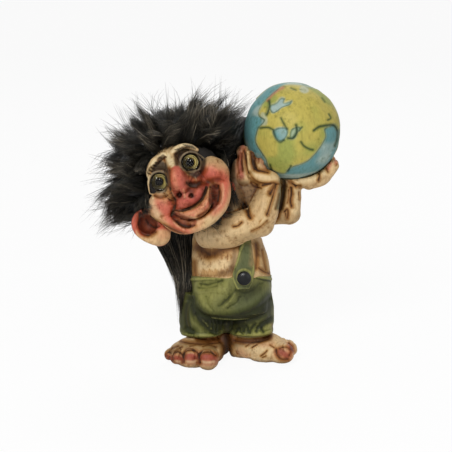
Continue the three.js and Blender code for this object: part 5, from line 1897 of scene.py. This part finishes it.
@dataclass
class Wig:
    """The fur wig: its cloth cap, a dark undercoat and thousands of single hairs.

    Angles go round the face in degrees, from the troll's left over the top. The reach is how far the
    hair stands out at an angle, and the starts are where it starts, in degrees from the face. A row of
    the nape is a height, the middle x and y of the back hair there, and its half widths.
    """

    skull: tuple[Point, Point] = SKULL
    cap_gap: float = 0.3
    cap_thickness: float = 0.8
    hairline: float = 3.0
    seed: int = 8
    crown_hairs: int = 45000
    nape_hairs: int = 7800
    crown_clumps: int = 460
    hairs_in_piece: int = 8500
    back_limit: float = 34.0
    back_easing: float = 0.5
    stray_share: float = 0.12
    wisp_share: float = 0.012
    nape_clumps: int = 90
    nape_top: float = 92
    undercoat_share: float = 0.61
    undercoat_by_globe: float = 0.18
    hair_radii: tuple[float, ...] = (0.13, 0.125, 0.105, 0.075)
    hand_angle: float = 345
    hand_half_width: float = 50
    hand_setback: float = 30
    reach: tuple[tuple[float, float], ...] = (
        (0, 56), (15, 58), (30, 55), (45, 50), (60, 46), (75, 44), (90, 46), (105, 47), (120, 47),
        (135, 45.5), (150, 45), (165, 50), (180, 52), (195, 43), (215, 32), (240, 27), (270, 35), (285, 41),
        (300, 42), (330, 42), (345, 48), (360, 56))
    starts: tuple[tuple[float, float], ...] = (
        (0, 50), (15, 44), (33, 41), (60, 37), (90, 36), (115, 37), (135, 41), (160, 44), (185, 48),
        (200, 60), (215, 80), (245, 66), (270, 62), (330, 60), (360, 50))
    nape: tuple[tuple[float, float, float, float, float], ...] = (
        (37, -22, -9, 5, 3.4), (47, -20.6, -2.6, 9, 6), (61, -21, 15, 19.5, 7.4), (73, -24, 13, 20, 9),
        (88, -26, 10, 20, 10), (98, -27, 8, 19, 10))
    kept_clear: tuple[tuple[Point, Point], ...] = (
        (GLOBE_CENTRE, (27.6, 27.6, 27.6)), ((12, -8, 106), (12, 9, 15)), ((27, 0, 98), (22, 12, 9)))
    clearance: float = 0.4
    steps: tuple[float, ...] = (0, 0.25, 0.5, 0.75, 1)

    def cap(self) -> bpy.types.Object:
        """Model the cloth cap, a shell behind the hairline."""
        (x, y, z), radii = self.skull
        outer = tuple(r + self.cap_gap + self.cap_thickness for r in radii)
        inner = tuple(r + self.cap_gap for r in radii)
        cap = Clay("wig_cap_cloth", HEAD).lump((x, y, z), outer).pressed(0, 1.0)
        cut(cap, Clay("hollow", HEAD).lump((x, y, z), inner).pressed(0, 1.0))
        cut(cap, Clay("front", HEAD).slab((0, self.hairline - 50, 0), (200, 100, 200)).pressed(0, 2.0))
        return cap

    def reach_at(self, angle: Array) -> Array:
        """How far the hair stands from the skull's middle at angles round the face."""
        table = np.array(self.reach)
        return np.interp(np.mod(angle, 360), table[:, 0], table[:, 1])

    def start_at(self, angle: Array) -> Array:
        """Where the hair starts, in degrees from the face: it is further back beside the raised hand."""
        table = np.array(self.starts)
        hand = np.abs(np.mod(angle - self.hand_angle + 180, 360) - 180)
        wide = self.hand_half_width
        setback = self.hand_setback * np.cos(np.radians(np.minimum(hand, wide) * (90 / wide))) ** 2
        return np.interp(np.mod(angle, 360), table[:, 0], table[:, 1]) + np.where(hand < wide, setback, 0)

    def outward(self, polar: Array, angle: Array) -> Array:
        """Directions from the skull's middle: polar from the face, angle round it, in degrees."""
        p, a = np.radians(polar), np.radians(angle)
        return np.stack([np.sin(p) * np.cos(a), -np.cos(p), np.sin(p) * np.sin(a)], axis=1)

    def undercoat(self) -> bpy.types.Object:
        """Model the dense fur close to the cap."""
        clear_selection()
        bpy.ops.mesh.primitive_uv_sphere_add(segments=128, ring_count=64, radius=1.0)
        core = bpy.context.object
        core.name = core.data.name = "wig_undercoat"
        flat = np.empty(len(core.data.vertices) * 3)
        core.data.vertices.foreach_get("co", flat)
        way = flat.reshape(-1, 3)
        polar = np.degrees(np.arccos(np.clip(-way[:, 1], -1, 1)))
        angle = np.degrees(np.arctan2(way[:, 2], way[:, 0]))
        start = self.start_at(angle) + 1
        opened = smooth(0, 26, polar - start)
        grain = Grain(41)
        tufts = 1 + 0.1 * grain.at(way, 0.16) + 0.08 * grain.at(way, 0.07)
        radii = np.array(self.skull[1])
        shell = 1 / np.sqrt(np.sum((way / (radii + 0.6)) ** 2, axis=1))
        full = self.undercoat_share + self.undercoat_by_globe * np.exp(-(angle / 13) ** 2)
        reach = shell + (self.reach_at(angle) * full * tufts - shell) * opened
        reach = np.where(opened > 0, np.maximum(reach, shell * 1.005), shell * 0.55)
        points = np.array(self.skull[0]) + way * reach[:, None]
        core.data.vertices.foreach_set("co", points.ravel())
        core.data.transform(HEAD)
        self.behind_hand(core.data)
        return core

    def behind_hand(self, mesh: bpy.types.Mesh) -> None:
        """Push what would stand in the hand or globe back behind them."""
        flat = np.empty(len(mesh.vertices) * 3)
        mesh.vertices.foreach_get("co", flat)
        mesh.vertices.foreach_set("co", self.cleared(flat.reshape(-1, 3)).ravel())
        mesh.update()

    def cleared(self, points: Array) -> Array:
        """Points moved back behind the globe and the raised hands."""
        points = points.copy()
        for centre, radii in self.kept_clear:
            near = (points - np.array(centre)) / np.array(radii)
            flat = near[:, 0] ** 2 + near[:, 2] ** 2
            back = centre[1] + radii[1] * np.sqrt(np.maximum(1 - flat, 0))
            inside = (flat < 1) & (points[:, 1] < back)
            points[inside, 1] = back[inside] + self.clearance
        past = np.maximum(points[:, 1] - self.back_limit, 0)
        points[:, 1] -= self.back_easing * past
        return points

    def crown_lines(self) -> tuple[Array, Array]:
        """The paths of the crown's hairs.

        Returns:
            Points, five for each hair, in the design frame, and one random pick for each hair.
        """
        dice = np.random.default_rng(self.seed)
        clumps = self.crown_clumps
        clump_polar = np.degrees(np.arccos(1 - dice.uniform(0.2, 2, clumps)))
        clump_way = self.outward(clump_polar, dice.uniform(0, 360, clumps))
        clump_long = dice.uniform(0.68, 1.0, clumps) ** 0.8
        clump_swirl = dice.normal(0, 0.2, (clumps, 3))
        clump_tone = dice.random(clumps)
        count = int(self.crown_hairs * 1.5)
        polar = np.degrees(np.arccos(1 - dice.uniform(0.16, 2, count)))
        angle = dice.uniform(0, 360, count)
        kept = polar > self.start_at(angle) + dice.normal(0, 1.5, count)
        polar, angle = polar[kept][:self.crown_hairs], angle[kept][:self.crown_hairs]
        count = len(polar)
        way = self.outward(polar, angle)
        home = np.concatenate([np.argmax(part @ clump_way.T, axis=1) for part in np.array_split(way, 20)])
        aside = np.arccos(np.clip(np.sum(way * clump_way[home], axis=1), -1, 1)) / 0.1
        radii = np.array(self.skull[1])
        root = way / np.sqrt(np.sum((way / (radii + 0.9)) ** 2, axis=1))[:, None]
        open_polar = np.minimum(polar + 14 * smooth(95, 50, polar), 180)
        stray = dice.random(count) < self.stray_share
        gather = np.where(stray, dice.uniform(0.0, 0.6, count), dice.uniform(0.84, 0.97, count))[:, None]
        tip_way = self.outward(open_polar, angle) * (1 - gather) + clump_way[home] * gather
        wander = dice.normal(0, 0.02, (count, 3)) * np.where(stray, 5, 1)[:, None]
        tip_way = tip_way + clump_swirl[home] + wander
        tip_way /= np.linalg.norm(tip_way, axis=1)[:, None]
        tip_angle = np.degrees(np.arctan2(tip_way[:, 2], tip_way[:, 0]))
        share = (1 - 0.3 * np.minimum(aside, 1.2) * dice.random(count)) * clump_long[home]
        share = share * dice.uniform(0.88, 1.03, count)
        share[stray] *= dice.uniform(0.85, 1.1, stray.sum())
        wisps = dice.random(count) < self.wisp_share
        share[wisps] = dice.uniform(1.0, 1.12, wisps.sum())
        tip_polar = np.degrees(np.arccos(np.clip(-tip_way[:, 1], -1, 1)))
        length = self.reach_at(tip_angle) * (1 - 0.08 * smooth(110, 180, tip_polar)) * share
        tip = tip_way * length[:, None]
        start = way * 0.55 + tip_way * 0.45
        handle = root + start * (np.linalg.norm(tip - root, axis=1) * 0.5)[:, None]
        lines = []
        for t in self.steps:
            place = root * (1 - t) ** 2 + handle * (2 * t * (1 - t)) + tip * t ** 2
            wave = np.sin(home * 1.7 + 6 * t)[:, None] * clump_swirl[home] * 4.0
            lines.append(place + (dice.normal(0, 0.22, (count, 3)) + wave) * t)
        lines = np.stack(lines, axis=1) + np.array(self.skull[0])
        turned = np.array(HEAD)
        lines = lines @ turned[:3, :3].T + turned[:3, 3]
        sag = np.array(self.steps) ** 2
        lines[:, :, 2] -= sag * (1.4 + 2.2 * smooth(70, 130, polar))[:, None]
        shape = lines.shape
        picks = dice.random(count) * 0.65 + clump_tone[home] * 0.35
        return self.cleared(lines.reshape(-1, 3)).reshape(shape), picks

    def nape_lines(self) -> tuple[Array, Array]:
        """The paths of the long back hairs, as for the crown."""
        dice = np.random.default_rng(self.seed + 1)
        table = np.array(self.nape)
        count = self.nape_hairs
        clumps = self.nape_clumps
        clump_turn = dice.uniform(0, 2 * np.pi, clumps)
        clump_out = np.sqrt(dice.uniform(0.1, 1, clumps))
        clump_low = dice.uniform(26, 46, clumps) + 5 * (clump_out > 0.9)
        home = dice.integers(0, clumps, count)
        turn = clump_turn[home] + dice.normal(0, 0.22, count)
        out = np.clip(clump_out[home] + dice.normal(0, 0.14, count), 0, 1.05)
        top = self.nape_top + dice.uniform(-4, 8, count)
        low = clump_low[home] + dice.normal(0, 4, count)
        lines = []
        for t in self.steps:
            z = top + (low - top) * t
            x, y, rx, ry = (np.interp(z, table[:, 0], table[:, k]) for k in range(1, 5))
            narrow = out * (1 - 0.1 * t)
            wave = 1.0 * np.sin(home * 2.1 + t * 5)
            aside = x + rx * narrow * np.cos(turn) + wave * t
            behind = y + ry * narrow * np.sin(turn)
            lines.append(np.stack([aside, behind, z], axis=1) + dice.normal(0, 0.3, (count, 3)) * t)
        return np.stack(lines, axis=1), dice.random(count)

    def hairs(self, name: str, lines: Array, picks: Array) -> bpy.types.Object:
        """Build single closed hairs along paths, three-sided and drawn out to points.

        Args:
            name: The piece's name.
            lines: Five points for each hair.
            picks: A random number for each hair, kept for its colour.

        Returns:
            The piece, in the design frame.
        """
        count = len(lines)
        along = np.gradient(lines, axis=1)
        along /= np.maximum(np.linalg.norm(along, axis=2), 1e-6)[:, :, None]
        side = np.cross(along, np.array((0.31, 0.87, 0.38)))
        side /= np.maximum(np.linalg.norm(side, axis=2), 1e-6)[:, :, None]
        over = np.cross(along, side)
        thick = np.array(self.hair_radii)[None, :, None] * (0.75 + 0.5 * picks[:, None, None])
        rings = []
        for corner in range(3):
            turn = corner * 2 * math.pi / 3
            rings.append(lines[:, :4] + thick * (math.cos(turn) * side[:, :4] + math.sin(turn) * over[:, :4]))
        rings = np.stack(rings, axis=2).reshape(count, 12, 3)
        vertices = np.concatenate([rings, lines[:, 4:5]], axis=1)
        quads = [(3 * r + c, 3 * r + (c + 1) % 3, 3 * r + 3 + (c + 1) % 3, 3 * r + 3 + c)
                 for r in range(3) for c in range(3)]
        ends = [(9 + c, 9 + (c + 1) % 3, 12) for c in range(3)] + [(2, 1, 0)]
        steps = np.arange(count)[:, None] * 13
        corners = np.concatenate([np.array(quads).ravel(), np.array(ends).ravel()])
        loops = (steps + corners).ravel()
        sizes = np.tile(np.array([4] * 9 + [3] * 4), count)
        mesh = bpy.data.meshes.new(name)
        mesh.vertices.add(count * 13)
        mesh.vertices.foreach_set("co", vertices.ravel())
        mesh.loops.add(len(loops))
        mesh.loops.foreach_set("vertex_index", loops.astype(np.int32))
        mesh.polygons.add(len(sizes))
        mesh.polygons.foreach_set("loop_start", np.concatenate([[0], np.cumsum(sizes)[:-1]]).astype(np.int32))
        mesh.update(calc_edges=True)
        tone = np.tile(np.repeat(self.steps, (3, 3, 3, 3, 1)), count)
        for label, values in (("tone", tone), ("pick", np.repeat(picks, 13))):
            layer = mesh.attributes.new(label, "FLOAT", "POINT")
            layer.data.foreach_set("value", values.astype(np.float32))
        piece = bpy.data.objects.new(name, mesh)
        bpy.context.scene.collection.objects.link(piece)
        return piece


def fur_finish() -> bpy.types.Material:
    """Dark fur, almost black at the root and smoky at the tip."""
    material, g, shader = started("smoky fur")
    tone = g.add("Attribute", attribute_name="tone").outputs["Fac"]
    pick = g.add("Attribute", attribute_name="pick").outputs["Fac"]
    body = g.blend(g.span(pick, 0.2, 0.8), rgba("0b0b09"), rgba("201f19"))
    tipped = g.math("MULTIPLY", g.span(tone, 0.3, 1.0), g.span(pick, 0.3, 0.85))
    body = g.blend(g.math("MULTIPLY", tipped, 0.85), body, rgba("5d5648"))
    pale = g.math("MULTIPLY", g.span(tone, 0.2, 0.8), g.span(pick, 0.86, 0.9))
    g.tree.links.new(g.blend(pale, body, rgba("9a8f7c")), shader.inputs["Base Color"])
    shader.inputs["Roughness"].default_value = 0.42
    shader.inputs["Specular IOR Level"].default_value = 0.28
    return material


def glass_finish() -> bpy.types.Material:
    """Clear glass that lets the lamps through to the painted bead behind it."""
    material = plain("clear glass", "ffffff", 0.02, Transmission_Weight=1.0, IOR=1.16)
    g = Graph(material.node_tree)
    nodes = material.node_tree.nodes
    shaded = g.add("LightPath").outputs["Is Shadow Ray"]
    open_glass = g.add("BsdfTransparent")
    both = g.add("MixShader", {0: shaded, 1: nodes["Principled BSDF"].outputs[0], 2: open_glass.outputs[0]})
    g.tree.links.new(both.outputs[0], nodes["Material Output"].inputs[0])
    return material


def iris_finish() -> bpy.types.Material:
    """A painted eye: black pupil, green-gold flecked iris with fine rings, painted lid shade on one side,
    dark rim.
    """
    material, g, shader = started("painted iris")
    disc = g.add("Attribute", attribute_name="disc").outputs["Vector"]
    radius = g.add("VectorMath", {0: disc}, operation="LENGTH").outputs["Value"]
    turned = g.add("VectorMath", {0: disc}, operation="NORMALIZE").outputs["Vector"]
    flecks = g.noise(g.stretched(turned, (7, 7, 7)), 1.0, 4, 0.7)
    colour = g.blend(g.span(flecks, 0.46, 0.66), rgba("0f0e08"), rgba("4a421e"))
    colour = g.blend(g.math("MULTIPLY", g.span(radius, 0.72, 0.5), 0.5), colour, rgba("6b5a1e"))
    for at in (0.62, 0.78):
        line = g.span(g.math("ABSOLUTE", g.math("SUBTRACT", radius, at)), 0.045, 0.0)
        colour = g.blend(g.math("MULTIPLY", line, 0.6), colour, rgba("d2bd72"))
    # Painted shade from the lid: the side of the iris towards the troll's right is darkened.
    across = g.add("SeparateXYZ", {0: disc}).outputs[0]
    colour = g.blend(g.math("MULTIPLY", g.span(across, 0.5, -0.5), 0.9), colour, rgba("15110a"))
    colour = g.blend(g.span(radius, 0.8, 0.9), colour, rgba("0d0b07"))
    colour = g.blend(g.span(radius, 0.5, 0.42), colour, rgba("050505"))
    g.tree.links.new(colour, shader.inputs["Base Color"])
    shader.inputs["Roughness"].default_value = 0.6
    shader.inputs["Specular IOR Level"].default_value = 0.02
    return material


# Studio


@dataclass
class Studio:
    """Camera, lamps, floor and backdrop."""

    sensor: float = 36.0
    floor_size: float = 6.0

    def camera(self) -> None:
        """Set the camera where the front sheet is seen from."""
        bpy.ops.object.camera_add()
        camera = bpy.context.object
        camera.data.sensor_width = self.sensor
        camera.data.lens = self.sensor * SHEET.DISTANCE / (SHEET.STEPS * SHEET.STEP)
        camera.location = (SHEET.eye + ROW_SHIFT) * MM
        camera.rotation_euler = SHEET.ahead.to_track_quat("-Z", "Y").to_euler()
        camera.data.clip_start, camera.data.clip_end = 0.01, 100
        bpy.context.scene.camera = camera

    def lamp(self, name: str, place: Point, size: float, power: float) -> None:
        """Hang a soft square lamp that faces the figure, in metres and watts."""
        bpy.ops.object.light_add(type="AREA", location=place)
        lamp = bpy.context.object
        lamp.name = lamp.data.name = name
        lamp.data.size = size
        lamp.data.energy = power
        lamp.rotation_euler = (Vector((0, 0, 0.08)) - Vector(place)).to_track_quat("-Z", "Y").to_euler()

    def floor(self) -> None:
        """Lay a plain floor that keeps the figure's shadow."""
        bpy.ops.mesh.primitive_plane_add(size=self.floor_size, location=(0, 0, 0))
        floor = bpy.context.object
        floor.name = "floor"
        material, g, shader = started("plain floor")
        shader.inputs["Base Color"].default_value = (0.9, 0.9, 0.9, 1)
        shader.inputs["Roughness"].default_value = 0.9
        white = g.add("Emission", {"Color": (1, 1, 1, 1), "Strength": 1.0})
        seen = g.math("MULTIPLY", g.add("LightPath").outputs["Is Camera Ray"], 0.92)
        both = g.add("MixShader", {0: seen, 1: shader.outputs[0], 2: white.outputs[0]})
        g.tree.links.new(both.outputs[0], material.node_tree.nodes["Material Output"].inputs[0])
        floor.data.materials.append(material)

    def backdrop(self) -> None:
        """Show white behind the figure, and light it softly all round."""
        world = bpy.data.worlds.new("studio")
        bpy.context.scene.world = world
        world.use_nodes = True
        g = Graph(world.node_tree)
        world.node_tree.nodes.clear()
        rays = g.add("LightPath").outputs
        through = g.math("MAXIMUM", rays["Is Glossy Ray"], rays["Is Transmission Ray"])
        seen = g.math("MAXIMUM", rays["Is Camera Ray"], through)
        soft = g.add("Background", {"Color": (1, 1, 1, 1), "Strength": 0.34})
        white = g.add("Background", {"Color": (1, 1, 1, 1), "Strength": 1.0})
        both = g.add("MixShader", {0: seen, 1: soft.outputs[0], 2: white.outputs[0]})
        g.add("OutputWorld", {0: both.outputs[0]})

    def build(self) -> None:
        """Set everything up."""
        bpy.context.scene.view_settings.view_transform = "Standard"
        bpy.context.scene.render.resolution_x = bpy.context.scene.render.resolution_y = SHEET.STEPS
        self.camera()
        self.lamp("key", (-0.22, -0.8, 0.72), 0.4, 7.2)
        self.lamp("fill", (0.8, -0.7, 0.35), 0.7, 0.9)
        self.lamp("rim", (0.2, 0.7, 0.8), 0.5, 2.4)
        self.floor()
        self.backdrop()


def main() -> None:
    """Build the troll and its studio."""
    logging.basicConfig(level=logging.INFO, format="%(message)s")
    antique = antique_group()
    skin = AntiquePaint("antique skin paint", Paint.SHADE, Paint.PALE, 0.4, 0.25, 0.2).made(antique)
    cloth = AntiquePaint("antique trouser paint", Paint.DEEP, Paint.MOSS, 0.6, 0.25, 0.6,
                         glaze="8f9068").made(antique)
    world_paint = AntiquePaint("antique globe paint", Paint.COAST, Paint.PALE, 0.45, 0.25, 0.25,
                               glaze="a0a888", streaked=0.6).made(antique)
    black = plain("button black", "08090a", 0.28, Specular_IOR_Level=0.3)
    clear = glass_finish()
    iris = iris_finish()
    fur = fur_finish()
    backing = plain("wig cloth", "1b1612", 0.9)

    head = Head()
    casting = head.casting()
    head.dressed(casting)
    finished(casting, "skin_casting", skin, "head")
    ears = (("right_ear", head.right_ear, -1, 0), ("left_ear", head.left_ear, 1, 70))
    for name, centre, side, back in ears:
        ear = head.ear(f"{name}_casting", centre, side, back)
        head.painted_ear(ear)
        finished(ear, "skin_casting", skin, name)
    for name, centre in (("right_eye", head.eyes[0]), ("left_eye", head.eyes[1])):
        glass, bead = head.eye(name, centre)
        finished(glass, "eye_clear", clear, f"{name}_glass")
        finished(bead, "eye_paint", iris, f"{name}_backing")

    torso = Torso()
    chest = torso.casting()
    torso.dress(chest)
    finished(chest, "skin_casting", skin, "torso")
    arms = Arms()
    near = arms.right_casting()
    arms.dress_right(near)
    finished(near, "skin_casting", skin, "right_arm")
    far = arms.left_casting()
    arms.dress_left(far)
    finished(far, "skin_casting", skin, "left_arm")

    trousers = Trousers()
    legs = trousers.casting()
    trousers.dress(legs)
    finished(legs, "trouser_casting", cloth, "trousers")
    front = trousers.brace("front_strap", FRONT_BRACE, False)
    trousers.dress_strap(front)
    finished(front, "trouser_casting", cloth, "front_brace")
    back = trousers.brace("back_strap", BACK_BRACE, True)
    trousers.dress_strap(back)
    finished(back, "trouser_casting", cloth, "back_brace")
    finished(trousers.button_form(), "button_black", black, "brace_button")

    feet = Feet()
    for name, side in (("right_foot", -1), ("left_foot", 1)):
        foot = feet.casting(side)
        feet.dress(foot, side)
        finished(foot, "skin_casting", skin, name)
    globe = Globe()
    ball = globe.casting()
    globe.dress(ball)
    finished(ball, "globe_casting", world_paint, "globe")

    wig = Wig()
    finished(wig.cap(), "wig_cloth", backing, "wig_cap")
    finished(wig.undercoat(), "wig_fur", fur)
    furs = (("crown", "crown_hair", wig.crown_lines()), ("nape", "nape_hair", wig.nape_lines()))
    for label, node, (lines, picks) in furs:
        for i, first in enumerate(range(0, len(lines), wig.hairs_in_piece)):
            part = slice(first, first + wig.hairs_in_piece)
            tuft = wig.hairs(f"{label}_fur_{i + 1}", lines[part], picks[part])
            finished(tuft, "wig_fur", fur, node)

    Studio().build()


if __name__ == "__main__":
    main()
